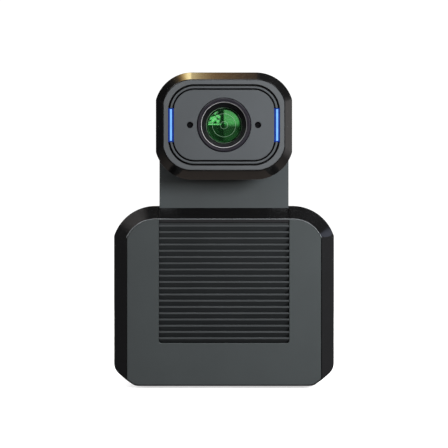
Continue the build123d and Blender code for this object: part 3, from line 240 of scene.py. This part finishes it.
def dress_frame():
    """Every CAD node takes the finished material of its slot."""
    for part in frame["record"]["subparts"]:
        node = frame["nodes"][part["node"]]
        node.data.materials.clear()
        node.data.materials.append(MATERIALS[part["material_slot"]])


dress_frame()


# ---- refined CAD shapes ---------------------------------------------------------------------
EDGE_SEGMENTS = 3
EDGE_ANGLE = 28.0
SAME_POINT = 0.002 * MM
# Width of the round edge on each redrawn node, in millimetres.
EDGE_WIDTHS = {
    "base_front_shell": 0.2,
    "base_face_plate": 0.35,
    "bevel_centre_strip": 0.3,
    "rib_grille": 0.07,
    "neck_front_cover": 0.3,
    "neck_rear_cover": 0.3,
    "head_bezel": 0.3,
    "face_rim": 0.12,
    "face_ring": 0.12,
    "face_panel": 0.12,
    "head_mid_shell": 0.3,
    "head_rear_cover": 0.3,
}
# Plates whose flat faces have no holes, so each can be one polygon.
WHOLE_FLATS = ("base_face_plate", "bevel_centre_strip")
# Second material of a node, for the faces whose normal has its Y in this range: the groove walls in the
# head's face are black, which is painted shade in the grooves, and the flat front of the strip is dark as
# well.
SECOND_MATERIALS = {
    # Groove walls in black: painted shade.
    "face_rim": ("lens_black", -0.5, 1.0),
    "face_ring": ("lens_black", -0.5, 1.0),
    "face_panel": ("lens_black", -0.5, 1.0),
    "bevel_centre_strip": ("strip_flat", -1.0, -0.95),
}


def body_of(node):
    for body, members in frame["record"]["behaviour"]["bodies"].items():
        if node in members:
            return body
    return "base"


def slot_of(node):
    for part in frame["record"]["subparts"]:
        if part["node"] == node:
            return part["material_slot"]
    return None


def settle(obj, node, material=None):
    """The piece rides with the node's body, takes its slot and stands for it."""
    slot = slot_of(node)
    obj.data.materials.clear()
    obj.data.materials.append(material or MATERIALS[slot])
    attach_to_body(obj, body_of(node))
    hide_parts(node)
    return obj


def attach(obj, body, material):
    """A further piece on a body: nothing in the CAD stands for it alone."""
    obj.data.materials.clear()
    obj.data.materials.append(material)
    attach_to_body(obj, body)
    return obj


def mesh_object(name, mesh):
    """New object from a bmesh, which is freed."""
    data = bpy.data.meshes.new(name)
    mesh.to_mesh(data)
    mesh.free()
    obj = bpy.data.objects.new(name, data)
    bpy.context.collection.objects.link(obj)
    return obj


def smooth(mesh):
    """Outward normals and smooth shading on every face."""
    bmesh.ops.recalc_face_normals(mesh, faces=mesh.faces)
    for face in mesh.faces:
        face.smooth = True


def evaluated(obj):
    """Mesh of an object with its modifiers applied."""
    depsgraph = bpy.context.evaluated_depsgraph_get()
    depsgraph.update()
    return bpy.data.meshes.new_from_object(obj.evaluated_get(depsgraph))


def recolour(obj, material, low, high):
    """Faces whose normal has its Y between low and high take a second material."""
    obj.data.materials.append(material)
    for polygon in obj.data.polygons:
        if low <= polygon.normal.y <= high:
            polygon.material_index = 1


def refined(node, width):
    """CAD node redrawn with small round edges."""
    mesh = bmesh.new()
    mesh.from_mesh(frame["nodes"][node].data)
    bmesh.ops.remove_doubles(mesh, verts=mesh.verts, dist=SAME_POINT)
    if node in WHOLE_FLATS:
        bmesh.ops.dissolve_limit(mesh, angle_limit=radians(0.5), verts=mesh.verts, edges=mesh.edges)
    for face in mesh.faces:
        face.smooth = True
    obj = mesh_object(node + ".soft", mesh)
    bevel = obj.modifiers.new("edges", "BEVEL")
    bevel.width = width * MM
    bevel.segments = EDGE_SEGMENTS
    bevel.limit_method = "ANGLE"
    bevel.angle_limit = radians(EDGE_ANGLE)
    bevel.use_clamp_overlap = False
    bevel.miter_outer = "MITER_ARC"
    normals = obj.modifiers.new("normals", "WEIGHTED_NORMAL")
    normals.keep_sharp = True
    finished = evaluated(obj)
    obj.modifiers.clear()
    obj.data = finished
    settle(obj, node, NODE_MATERIALS.get(node))
    if node in SECOND_MATERIALS:
        name, low, high = SECOND_MATERIALS[node]
        recolour(obj, MATERIALS[name], low, high)


# ---- turned pieces --------------------------------------------------------------------------
SHARP_ANGLE = 30.0
DOME_POINTS = 14


def turned_ring(mesh, radius, depth, x, steps):
    """One circle of a lathe's points, or a single point on the axis."""
    if radius < 1e-6:
        return [mesh.verts.new((x, depth * MM, LENS_Z))]
    ring = []
    for n in range(steps):
        angle = 2 * pi * n / steps
        across = radius * MM * cos(angle)
        up = radius * MM * sin(angle)
        ring.append(mesh.verts.new((x + across, depth * MM, LENS_Z + up)))
    return ring


def lathe(name, profile, x=0.0, steps=96):
    """Ring or dome turned about a line along Y from (radius, depth) points in millimetres."""
    mesh = bmesh.new()
    rings = [turned_ring(mesh, radius, depth, x, steps) for radius, depth in profile]
    pairs = list(zip(rings, rings[1:]))
    if len(rings[0]) > 1 and len(rings[-1]) > 1:
        pairs.append((rings[-1], rings[0]))
    for a, b in pairs:
        for n in range(steps):
            m = (n + 1) % steps
            if len(a) == 1:
                mesh.faces.new((a[0], b[m], b[n]))
            elif len(b) == 1:
                mesh.faces.new((a[n], a[m], b[0]))
            else:
                mesh.faces.new((a[n], a[m], b[m], b[n]))
    smooth(mesh)
    obj = mesh_object(name, mesh)
    obj.data.set_sharp_from_angle(angle=radians(SHARP_ANGLE))
    return obj


def dome_front(r, edge, bulge):
    """Spherical front of a lens as (radius, depth) points from the axis to the edge."""
    big = (r * r + bulge * bulge) / (2 * bulge)
    profile = []
    for n in range(DOME_POINTS + 1):
        radius = r * n / DOME_POINTS
        profile.append((radius, edge - (sqrt(big * big - radius * radius) - (big - bulge))))
    return profile


def dome_profile(r, edge, bulge, back):
    """Half outline of a lens with a flat back."""
    return dome_front(r, edge, bulge) + [(r, back), (0.0, back)]


def shell_profile(r, edge, bulge, thickness):
    """Half outline of a thin domed glass of even thickness."""
    front = dome_front(r, edge, bulge)
    rear = [(radius, depth + thickness) for radius, depth in reversed(front)]
    return front + rear


def clear_glass():
    n = Nodes("clear_glass")
    shader = n.surface(Transmission_Weight=1.0, IOR=1.47, Specular_IOR_Level=0.5)
    place = n.place()
    smear = n.noise(260.0, 3.0, 0.5, place)
    n.link(n.span(smear, 0.0, 0.025), shader.inputs["Roughness"])
    n.link(n.ramp(smear, shades((0.93, 0.97, 0.94), 0.01)), shader.inputs["Base Color"])
    return n.material


def coated(name, colour):
    """Inner glass seen through its coloured anti-reflection coating."""
    n = Nodes(name)
    shader = n.surface(Metallic=1.0)
    place = n.place()
    tone = n.noise(180.0, 4.0, 0.6, place)
    n.link(n.ramp(tone, shades(colour, 0.16)), shader.inputs["Base Color"])
    n.link(n.span(tone, 0.04, 0.09), shader.inputs["Roughness"])
    return n.material


def glowing(name, body, glow, strength, spread=0.05, specular=0.5):
    """Lit light guide: milky plastic with its own light."""
    n = Nodes(name)
    shader = n.surface(Roughness=0.45, Emission_Strength=strength, Specular_IOR_Level=specular)
    place = n.place()
    cloud = n.noise(420.0, 3.0, 0.5, place)
    n.link(n.ramp(cloud, shades(body, 0.1)), shader.inputs["Base Color"])
    n.link(n.ramp(cloud, shades(glow, spread)), shader.inputs["Emission Color"])
    return n.material


# ---- lens: millimetres ------------------------------------------------------------------------
FACE_Y = BEZEL_LO.y / MM
TRIM_R = (TRIM_HI.x - TRIM_LO.x) / 2 / MM
TRIM_INNER_R = 14.4
GLASS_R = (GLASS_HI.x - GLASS_LO.x) / 2 / MM
GLASS_EDGE_Y = FACE_Y + 3.9
GLASS_BULGE = 2.6
GLASS_THICKNESS = 0.7
RING_STEPS = 160
CELL_STEPS = 4
CELL_STEP_DEPTH = 0.85
# Inner glasses: name, radius, edge depth behind the front glass's edge, bulge.
INNER_GLASSES = [
    ("outer", 10.9, 0.9, 2.35),
    ("middle", 7.1, -0.50, 1.1),
    ("core", 2.2, -1.52, 0.16),
]
# Bright rims of the inner glasses: name, radius, depth behind the front glass's edge.
INNER_RIMS = [
    ("edge", 10.92, 0.95),
    ("middle", 7.1, -0.48),
    ("core", 2.2, -1.50),
]


def build_trim_ring():
    """Satin ring with a dark shoulder outside, and a lip inside whose light grey is a painted highlight
    round the lens opening.
    """
    front = TRIM_LO.y / MM
    profile = [
        (TRIM_R, front + 1.3),
        (TRIM_R - 0.26, front + 1.2),
        (TRIM_R - 0.34, front + 0.46),
        (TRIM_R - 0.46, front + 0.20),
        (TRIM_R - 0.68, front + 0.05),
        (TRIM_R - 0.95, front),
        (TRIM_INNER_R + 1.1, front + 0.16),
        (TRIM_INNER_R + 0.62, front + 0.22),
        (TRIM_INNER_R + 0.55, front + 0.42),
        (TRIM_INNER_R + 0.42, front + 0.42),
        (TRIM_INNER_R + 0.36, front + 0.18),
        (TRIM_INNER_R + 0.20, front + 0.10),
        (TRIM_INNER_R + 0.06, front + 0.18),
        (TRIM_INNER_R, front + 0.40),
        (TRIM_INNER_R, TRIM_HI.y / MM),
        (TRIM_R, TRIM_HI.y / MM),
    ]
    settle(lathe("lens_trim_ring.fine", profile, steps=RING_STEPS), "lens_trim_ring")
    lip = [
        (TRIM_INNER_R - 0.02, front + 0.30),
        (TRIM_INNER_R - 0.14, front + 0.36),
        (TRIM_INNER_R - 0.30, front + 0.52),
        (TRIM_INNER_R - 0.30, front + 0.80),
        (TRIM_INNER_R - 0.02, front + 0.80),
    ]
    # The lip's light grey is a painted highlight round the lens opening.
    painted_highlight_grey = moulded("trim_lip_painted_highlight", (0.20, 0.195, 0.20), 0.30, 900.0, 0.000003)
    attach(lathe("lens_trim_lip", lip, steps=RING_STEPS), "head", painted_highlight_grey)


def build_front_cell():
    """Black baffle steps down to the front glass, each with a fine rounded crest."""
    r = TRIM_INNER_R - 0.05
    front = FACE_Y + 0.4
    back = TRIM_HI.y / MM
    profile = [(r, front)]
    run = (r - GLASS_R) / CELL_STEPS
    for n in range(CELL_STEPS):
        outer = r - n * run
        depth = front + n * CELL_STEP_DEPTH
        profile.append((outer - 0.18, depth - 0.05))
        profile.append((outer - 0.34, depth + 0.03))
        profile.append((outer - 0.42, depth + 0.22))
        profile.append((outer - run + 0.10, depth + 0.72))
    bore = GLASS_R + 0.02
    profile.append((bore, front + CELL_STEPS * CELL_STEP_DEPTH))
    profile.append((bore, back))
    profile.append((r, back))
    settle(lathe("lens_front_cell.fine", profile, steps=RING_STEPS), "lens_front_cell")


def rim_profile(r, depth):
    """Closed outline of the fine ring around an inner glass."""
    return [
        (r, depth),
        (r + 0.05, depth - 0.12),
        (r + 0.13, depth - 0.12),
        (r + 0.18, depth),
        (r + 0.09, depth + 0.3),
    ]


def build_front_glass():
    """Clear front dome, with coated inner glasses and their bright rims behind it."""
    edge = GLASS_EDGE_Y
    glass = lathe("front_element.glass", shell_profile(GLASS_R - 0.05, edge, GLASS_BULGE, GLASS_THICKNESS))
    settle(glass, "front_element", clear_glass())
    glass.visible_shadow = False
    glass.visible_diffuse = False
    green = coated("coating_green", (0.09, 0.62, 0.14))
    for name, r, behind, bulge in INNER_GLASSES:
        depth = edge + behind
        piece = lathe(f"front_element.{name}", dome_profile(r, depth, bulge, depth + 0.6))
        attach(piece, "head", green)
    bright = moulded("glass_rim", (0.13, 0.22, 0.14), 0.35, 900.0, 0.000004)
    for name, r, behind in INNER_RIMS:
        ring = lathe(f"front_element.{name}_rim", rim_profile(r, edge + behind), steps=128)
        attach(ring, "head", bright)


# ---- light bars and sensors: millimetres ------------------------------------------------------
# The bars are parts of the face's ring: radii of the diffuser and of the light guide in it.
BAND_IN, BAND_OUT = 12.96, 16.44
CORE_IN, CORE_OUT = 14.10, 15.42
BAND_HALF_H = 10.45
CORE_HALF_H = 9.9
# Centres of the ring's corner arcs, from the lens axis.
RING_X, RING_Z = 18.5, 9.0
BAR_ROWS = 24
BAR_COLUMNS = 8
BAR_END_ROUND = 0.6
SENSOR_R = 1.94


def ring_point(side, r, height):
    """Point of the face ring of radius r at a height from the lens axis, in millimetres."""
    over = max(0.0, abs(height) - RING_Z)
    return side * (RING_X + sqrt(max(r * r - over * over, 0.0))), height


def bar_front(mesh, side, r0, r1, half_h, front, crown):
    """Rows of points over the bar's softly crowned front."""
    grid = []
    for row in range(BAR_ROWS + 1):
        height = -half_h + 2 * half_h * row / BAR_ROWS
        end = min(1.0, (half_h - abs(height)) / BAR_END_ROUND)
        line = []
        for col in range(BAR_COLUMNS + 1):
            share = col / BAR_COLUMNS
            x, h = ring_point(side, r0 + (r1 - r0) * share, height)
            dome = crown * (1 - (2 * share - 1) ** 4) * sqrt(max(end, 0.0))
            line.append(mesh.verts.new((x * MM, (front - dome) * MM, LENS_Z + h * MM)))
        grid.append(line)
    return grid


def outline(grid):
    """Points round the edge of a grid, in order."""
    right = [line[-1] for line in grid[1:]]
    top = grid[-1][-2::-1]
    left = [line[0] for line in grid[-2:0:-1]]
    return grid[0] + right + top + left


def bar_solid(name, side, r0, r1, half_h, front, back, crown):
    """Upright bar between two ring radii with a softly crowned front."""
    mesh = bmesh.new()
    grid = bar_front(mesh, side, r0, r1, half_h, front, crown)
    for a, b in zip(grid, grid[1:]):
        for n in range(BAR_COLUMNS):
            mesh.faces.new((a[n], a[n + 1], b[n + 1], b[n]))
    edge = outline(grid)
    rear = [mesh.verts.new((v.co.x, back * MM, v.co.z)) for v in edge]
    for n in range(len(edge)):
        m = (n + 1) % len(edge)
        mesh.faces.new((edge[n], edge[m], rear[m], rear[n]))
    mesh.faces.new(rear)
    smooth(mesh)
    obj = mesh_object(name, mesh)
    obj.data.set_sharp_from_angle(angle=radians(40))
    return obj


def build_light_bars():
    """Bright light guides standing in a blue-lit diffuser."""
    core = glowing("light_core", (0.02, 0.04, 0.08), (0.17, 0.46, 1.0), 0.95)
    glow = glowing("light_flank", (0.002, 0.006, 0.03), (0.0006, 0.017, 0.19), 1.0, 0.25, 0.08)
    front = BARS_LO.y / MM
    back = BARS_HI.y / MM
    for side, label in ((-1, "left"), (1, "right")):
        flank = bar_solid(
            f"light_bar.{label}", side, BAND_IN, BAND_OUT, BAND_HALF_H, front + 0.3, back, crown=0.1
        )
        if side < 0:
            settle(flank, "led_light_bars", glow)
        else:
            attach(flank, "head", glow)
        bar = bar_solid(
            f"light_core.{label}", side, CORE_IN, CORE_OUT, CORE_HALF_H, front + 0.2, back - 0.5, crown=0.2
        )
        attach(bar, "head", core)


def build_sensors():
    """Small domed windows at the bottom of the two sensor holes."""
    lo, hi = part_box("sensor_windows")
    x = hi.x - SENSOR_R * MM
    front = lo.y / MM
    back = hi.y / MM
    profile = [
        (0, front - 0.10),
        (0.35, front - 0.08),
        (0.62, front + 0.02),
        (0.68, front + 0.18),
        (0.95, front + 0.16),
        (1.5, front + 0.1),
        (1.8, front + 0.16),
        (SENSOR_R, front + 0.4),
        (SENSOR_R, back),
        (0, back),
    ]
    for side, label in ((-1, "left"), (1, "right")):
        dome = lathe(f"sensor_window.{label}", profile, x=side * x, steps=40)
        if side < 0:
            settle(dome, "sensor_windows")
        else:
            attach(dome, "head", MATERIALS["window_dark"])


# ---- bead along the bevel: millimetres --------------------------------------------------------
FACE_CORNER_R = 19.9
FACE_MARGIN = 0.37  # from the face plate's edge to the edge of the bevel
CORNER_FROM_NECK = 2.54  # from the neck's side to the centre of the face's corner
BEAD_R = 0.2
BEAD_FLATNESS = 0.6
BEAD_SIDES = 8
BEAD_STEPS = 20


def edge_path():
    """Upper edge of the base's face as X and Z in millimetres: left arc, straight top, right arc."""
    half_w = PLATE_HI.x / MM + FACE_MARGIN
    top = PLATE_HI.z / MM + FACE_MARGIN
    centre_z = top - FACE_CORNER_R
    centre_x = NECK_HI.x / MM + CORNER_FROM_NECK
    side = acos((half_w - centre_x) / FACE_CORNER_R)
    arc = []
    for n in range(BEAD_STEPS + 1):
        angle = side + (pi / 2 - side) * n / BEAD_STEPS
        x = centre_x + FACE_CORNER_R * cos(angle)
        z = centre_z + FACE_CORNER_R * sin(angle)
        arc.append((x, z))
    return arc + [(-x, z) for x, z in reversed(arc)]


def skin(mesh, rings):
    """Faces over a row of equal rings of points, closed at both ends."""
    count = len(rings[0])
    for a, b in zip(rings, rings[1:]):
        for k in range(count):
            m = (k + 1) % count
            mesh.faces.new((a[k], a[m], b[m], b[k]))
    mesh.faces.new(rings[0][::-1])
    mesh.faces.new(rings[-1])


def build_edge_bead():
    """Fine polished bead where the base's face meets its bevel. Its light grey colour is a painted
    highlight line, on top of the light it catches from above.
    """
    points = [Vector((x * MM, 0, z * MM)) for x, z in edge_path()]
    mesh = bmesh.new()
    rings = []
    for n, point in enumerate(points):
        along = (points[min(n + 1, len(points) - 1)] - points[max(n - 1, 0)]).normalized()
        across = Vector((along.z, 0, -along.x))
        ring = []
        for k in range(BEAD_SIDES):
            angle = 2 * pi * k / BEAD_SIDES
            spot = point + across * (BEAD_R * MM * cos(angle))
            spot.y = PLATE_LO.y + BEAD_FLATNESS * BEAD_R * MM * sin(angle)
            ring.append(mesh.verts.new(spot))
        rings.append(ring)
    skin(mesh, rings)
    smooth(mesh)
    # Light grey bead colour: a painted highlight along the face's upper edge.
    painted_highlight_grey = moulded("edge_bead_painted_highlight", (0.110, 0.118, 0.124), 0.22, 900.0, 0.000002)
    attach(mesh_object("face_edge_bead", mesh), "base", painted_highlight_grey)


# ---- contacts of the network socket: millimetres ----------------------------------------------
CONTACT_COUNT = 8
CONTACT_PITCH = 1.02
CONTACT_W = 0.45
CONTACT_T = 0.2
CONTACT_ROOF = 2.9  # from the socket's top down to the contacts' roots
# Run of one contact: how far in from the mouth, and how far below the roots.
CONTACT_RUN = [(2.4, 0.0), (3.4, 0.5), (9.0, 3.2), (10.2, 3.0)]
CORNERS = ((-0.5, 0.5), (0.5, 0.5), (0.5, -0.5), (-0.5, -0.5))


def build_contacts():
    """Sprung gold contacts of the network socket, bent down from the roof towards the back."""
    lo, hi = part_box("ethernet_jack")
    centre = (lo.x + hi.x) / 2 / MM
    roof = hi.z / MM - CONTACT_ROOF
    mouth = hi.y / MM
    gold = brushed("contact_gold", (0.86, 0.62, 0.22), 0.22)
    for n in range(CONTACT_COUNT):
        x = centre + (n - (CONTACT_COUNT - 1) / 2) * CONTACT_PITCH
        mesh = bmesh.new()
        rows = []
        for inward, down in CONTACT_RUN:
            row = []
            for dx, dz in CORNERS:
                z = roof - down + dz * CONTACT_T
                row.append(mesh.verts.new(((x + dx * CONTACT_W) * MM, (mouth - inward) * MM, z * MM)))
            rows.append(row)
        skin(mesh, rows)
        bmesh.ops.recalc_face_normals(mesh, faces=mesh.faces)
        attach(mesh_object(f"network_contact.{n}", mesh), "base", gold)


for node_name, edge_width in EDGE_WIDTHS.items():
    refined(node_name, edge_width)


build_edge_bead()
build_contacts()
build_trim_ring()
build_front_cell()
build_front_glass()
build_light_bars()
build_sensors()


# ---- stage: metres -----------------------------------------------------------------------------
FLOOR_RADIUS = 30.0
FLOOR_TONE = 0.48
FLOOR_GLOW = 0.60
WORLD_LEVEL = 1.09
WORLD_BELOW = 0.25
DOME_RADIUS = 2.6
# Soft patches of the room: direction, angle inside which each is full, angle where it ends, colour.
ROOM_PATCHES = [
    ((0, -1, 0), 0, 190, (0.035, 0.035, 0.038)),
    ((0, 0.54, -0.84), 20, 70, (0.22, 0.19, 0.17)),
    ((0.84, 0.54, 0.0), 8, 24, (0.44, 0.42, 0.41)),
    ((1, 0, -0.1), 8, 30, (0.17, 0.17, 0.18)),
    ((-1, 0, 0), 8, 40, (0.07, 0.07, 0.075)),
    ((-0.62, 0.1, 0.78), 6, 26, (0.50, 0.47, 0.46)),
    ((0.94, 0.0, 0.34), 2, 9, (0.70, 0.76, 1.0)),
    ((-0.50, -0.36, 0.79), 5, 13, (8.0, 8.2, 8.6)),
    ((0.0, -0.375, 0.927), 5, 13, (8.0, 8.2, 8.6)),
    ((0.50, -0.36, 0.79), 5, 13, (8.0, 8.2, 8.6)),
]
# Bright areas of the wall in front, as directions: left, right, low, high, softness across and up, level,
# and whether they are broken up.
FRONT_WINDOWS = [
    (0.0, 0.66, 0.08, 0.98, 0.04, 0.14, 0.54, False),
    (0.0, 0.60, -0.66, 0.08, 0.06, 0.16, 0.060, False),
    (-0.72, -0.18, 0.16, 0.90, 0.03, 0.03, 1.0, True),
    (-0.80, -0.22, 0.085, 0.145, 0.02, 0.02, 1.1, False),
    (-0.75, -0.30, -0.45, 0.05, 0.12, 0.12, 0.022, False),
]
# The camera stands in front of this part of the wall and darkens it.
CAMERA_SHADE = (-0.075, 0.075, -0.04, 0.14, 0.02, 0.02)
CARD_DISTANCE = 0.5
CARD_DIRECTION = Vector((0, 0.543, 0.839))
CARD_DEPTH = 0.16
# Colours across the warm card, from the right of the picture to the left.
WARM_STOPS = [
    (0.05, (0.06, 0.05, 0.04)),
    (0.235, (0.3, 0.22, 0.12)),
    (0.340, (1.2, 0.75, 0.28)),
    (0.455, (3.4, 2.4, 0.95)),
    (0.547, (6.4, 5.2, 2.6)),
    (0.620, (7.0, 5.8, 3.0)),
    (0.665, (4.0, 3.2, 1.6)),
    (0.690, (1.5, 1.0, 0.45)),
    (0.720, (0.80, 0.44, 0.19)),
    (0.780, (0.44, 0.27, 0.15)),
    (0.850, (0.14, 0.11, 0.10)),
    (0.950, (0.03, 0.03, 0.03)),
]
UNDER_CARD_SIZE = (0.07, 0.022, 1)
# Lights: name, place, target, size, power in watts.
LIGHTS = [
    ("key_right", (0.25, -0.30, 0.21), (0, -0.03, 0.11), (0.14, 0.14), 3.7),
    ("top_front", (-0.05, -0.45, 0.55), (0, -0.03, 0.12), (0.4, 0.2), 0.8),
    ("back_left", (-0.40, 0.60, 0.40), (0, 0.02, 0.11), (0.3, 0.3), 5.0),
    ("back_right", (0.45, 0.50, 0.30), (0, 0.02, 0.11), (0.2, 0.2), 2.5),
    ("side_left", (-0.60, 0.12, 0.22), (0, 0.05, 0.11), (0.25, 0.25), 2.0),
    ("side_right", (0.60, 0.12, 0.22), (0, 0.05, 0.11), (0.25, 0.25), 2.0),
]


def make_camera():
    data = bpy.data.cameras.new("camera")
    data.sensor_width = SENSOR_MM
    data.lens = SENSOR_MM * CAMERA_DISTANCE / FRAME_WIDTH
    data.clip_start = 0.05
    data.clip_end = 20.0
    camera = bpy.data.objects.new("camera", data)
    camera.location = (0.0, BASE_LO.y - CAMERA_DISTANCE, CAMERA_HEIGHT)
    camera.rotation_euler = (radians(90), 0, 0)
    bpy.context.collection.objects.link(camera)
    bpy.context.scene.camera = camera


def make_floor():
    """Pale plain floor, a wide round sheet that lights itself in part."""
    mesh = bmesh.new()
    bmesh.ops.create_circle(mesh, cap_ends=True, segments=96, radius=FLOOR_RADIUS)
    floor = mesh_object("floor", mesh)
    floor.location.z = FLOOR_Z
    floor.visible_glossy = False
    floor.visible_diffuse = False
    floor.visible_transmission = False
    n = Nodes("floor_paper")
    shader = n.surface(Roughness=0.9, Specular_IOR_Level=0.1, Emission_Strength=FLOOR_GLOW)
    tone = shades((FLOOR_TONE, FLOOR_TONE, FLOOR_TONE), 0.01)
    n.link(n.ramp(n.noise(6.0, 3.0), tone), shader.inputs["Base Color"])
    shader.inputs["Emission Color"].default_value = (1, 1, 1, 1)
    floor.data.materials.append(n.material)


def area_light(name, place, target, size, power):
    """Soft light that neither the camera nor a reflection sees."""
    data = bpy.data.lights.new(name, "AREA")
    data.shape = "RECTANGLE"
    data.size, data.size_y = size
    data.energy = power
    light = bpy.data.objects.new(name, data)
    light.location = place
    aim = Vector(target) - Vector(place)
    light.rotation_euler = aim.to_track_quat("-Z", "Y").to_euler()
    light.visible_glossy = False
    light.visible_transmission = False
    light.visible_camera = False
    bpy.context.collection.objects.link(light)


def make_world():
    """White studio all round; bright above, dimmer below the horizon."""
    world = bpy.data.worlds.new("studio")
    bpy.context.scene.world = world
    world.use_nodes = True
    tree = world.node_tree
    background = tree.nodes["Background"]
    place = tree.nodes.new("ShaderNodeTexCoord")
    split = tree.nodes.new("ShaderNodeSeparateXYZ")
    level = tree.nodes.new("ShaderNodeMapRange")
    level.inputs["From Min"].default_value = -0.06
    level.inputs["From Max"].default_value = -0.03
    level.inputs["To Min"].default_value = WORLD_BELOW
    tree.links.new(place.outputs["Generated"], split.inputs["Vector"])
    tree.links.new(split.outputs["Z"], level.inputs["Value"])
    tree.links.new(level.outputs["Result"], background.inputs["Color"])
    background.inputs["Strength"].default_value = WORLD_LEVEL
    world.cycles_visibility.glossy = False
    world.cycles_visibility.transmission = False
    bpy.context.scene.view_settings.view_transform = "Standard"


# ---- what only reflections see -----------------------------------------------------------------
def only_reflected(obj):
    obj.visible_camera = False
    obj.visible_diffuse = False
    obj.visible_shadow = False


def emission(name):
    """Node tree with an emission shader joined to the output, and the shader."""
    n = Nodes(name)
    glow = n.add("ShaderNodeEmission")
    n.link(glow.outputs["Emission"], n.output.inputs["Surface"])
    return n, glow


def split_xyz(n, vector):
    split = n.add("ShaderNodeSeparateXYZ")
    n.link(vector, split.inputs["Vector"])
    return split.outputs


def unit_place(n):
    """Direction from the object's centre."""
    unit = n.add("ShaderNodeVectorMath", operation="NORMALIZE")
    n.link(n.place(), unit.inputs[0])
    return unit.outputs["Vector"]


def soft_spot(n, direction, inner, outer):
    """1 inside the inner angle about a direction, falling to 0 at the outer angle."""
    dot = n.add("ShaderNodeVectorMath", operation="DOT_PRODUCT")
    n.link(unit_place(n), dot.inputs[0])
    dot.inputs[1].default_value = Vector(direction).normalized()
    return n.fade(dot.outputs["Value"], cos(radians(outer)), cos(radians(inner)))


def product(n, a, b):
    both = n.add("ShaderNodeMath", operation="MULTIPLY")
    n.link(a, both.inputs[0])
    n.link(b, both.inputs[1])
    return both.outputs["Value"]


def window(n, across, up, left, right, low, high, soft_across, soft_up):
    """1 inside a box of directions, with soft edges."""
    mask = product(
        n,
        n.fade(across, left - soft_across, left + soft_across),
        n.fade(across, right + soft_across, right - soft_across),
    )
    mask = product(n, mask, n.fade(up, low - soft_up, low + soft_up))
    return product(n, mask, n.fade(up, high + soft_up, high - soft_up))


def without(n, mask):
    """1 where the mask is 0."""
    rest = n.add("ShaderNodeMath", operation="SUBTRACT")
    rest.inputs[0].default_value = 1.0
    n.link(mask, rest.inputs[1])
    return rest.outputs["Value"]


def tinted(n, mask, colour):
    patch = n.add("ShaderNodeVectorMath", operation="SCALE")
    patch.inputs[0].default_value = colour
    n.link(mask, patch.inputs["Scale"])
    return patch.outputs["Vector"]


def sum_of(n, layers):
    total = layers[0]
    for layer in layers[1:]:
        both = n.add("ShaderNodeVectorMath", operation="ADD")
        n.link(total, both.inputs[0])
        n.link(layer, both.inputs[1])
        total = both.outputs["Vector"]
    return total


def wall_layers(n):
    """Lit areas of the wall in front, which the camera shades."""
    unit = unit_place(n)
    across, up = split_xyz(n, unit)["X"], split_xyz(n, unit)["Z"]
    shade = window(n, across, up, *CAMERA_SHADE)
    ahead = product(n, soft_spot(n, (0, -1, 0), 38, 66), without(n, shade))
    broken = n.fade(n.noise(7.0, 3.0, 0.6, unit), 0.46, 0.54)
    layers = []
    for *box, level, patchy in FRONT_WINDOWS:
        mask = product(n, window(n, across, up, *box), ahead)
        if patchy:
            mask = product(n, mask, broken)
        layers.append(tinted(n, mask, (level, level, level * 0.96)))
    return layers


def make_reflections():
    """Dome that only reflections see: a dark room with soft bright patches and a window wall in front."""
    mesh = bmesh.new()
    bmesh.ops.create_icosphere(mesh, subdivisions=5, radius=DOME_RADIUS)
    dome = mesh_object("reflection_dome", mesh)
    dome.location.z = LENS_Z
    n, glow = emission("room_reflections")
    patches = []
    for direction, inner, outer, colour in ROOM_PATCHES:
        patches.append(tinted(n, soft_spot(n, direction, inner, outer), colour))
    n.link(sum_of(n, patches + wall_layers(n)), glow.inputs["Color"])
    dome.data.materials.append(n.material)
    only_reflected(dome)


def card(name):
    """Flat sheet one metre square."""
    mesh = bmesh.new()
    bmesh.ops.create_grid(mesh, x_segments=2, y_segments=2, size=0.5)
    return mesh_object(name, mesh)


def warm_card():
    """Long warm card above and behind the head: gold at its left, brown and fading to its right."""
    sheet = card("warm_card")
    sheet.location = Vector((0, BEZEL_LO.y, BEZEL_HI.z)) + CARD_DISTANCE * CARD_DIRECTION
    sheet.rotation_euler = CARD_DIRECTION.to_track_quat("Z", "Y").to_euler()
    sheet.scale.y = CARD_DEPTH
    n, glow = emission("warm_glow")
    across = n.fade(split_xyz(n, n.place())["X"], 0.30, -0.10, "LINEAR")
    n.link(n.ramp(across, WARM_STOPS), glow.inputs["Color"])
    sheet.data.materials.append(n.material)
    only_reflected(sheet)


def under_card():
    """Small dim brown card between head and base, mirrored in the underside of the head's bevel."""
    sheet = card("under_card")
    sheet.location = (0, BASE_LO.y - 0.006, (BASE_HI.z + BEZEL_LO.z) / 2 - 0.004)
    sheet.rotation_euler = (radians(90), 0, 0)
    sheet.scale = UNDER_CARD_SIZE
    n, glow = emission("under_glow")
    brown = shades((0.24, 0.20, 0.175), 0.15)
    n.link(n.ramp(n.noise(20.0, 2.0), brown), glow.inputs["Color"])
    sheet.data.materials.append(n.material)
    only_reflected(sheet)


make_camera()
make_floor()
make_world()
make_reflections()
warm_card()
under_card()
for light in LIGHTS:
    area_light(*light)
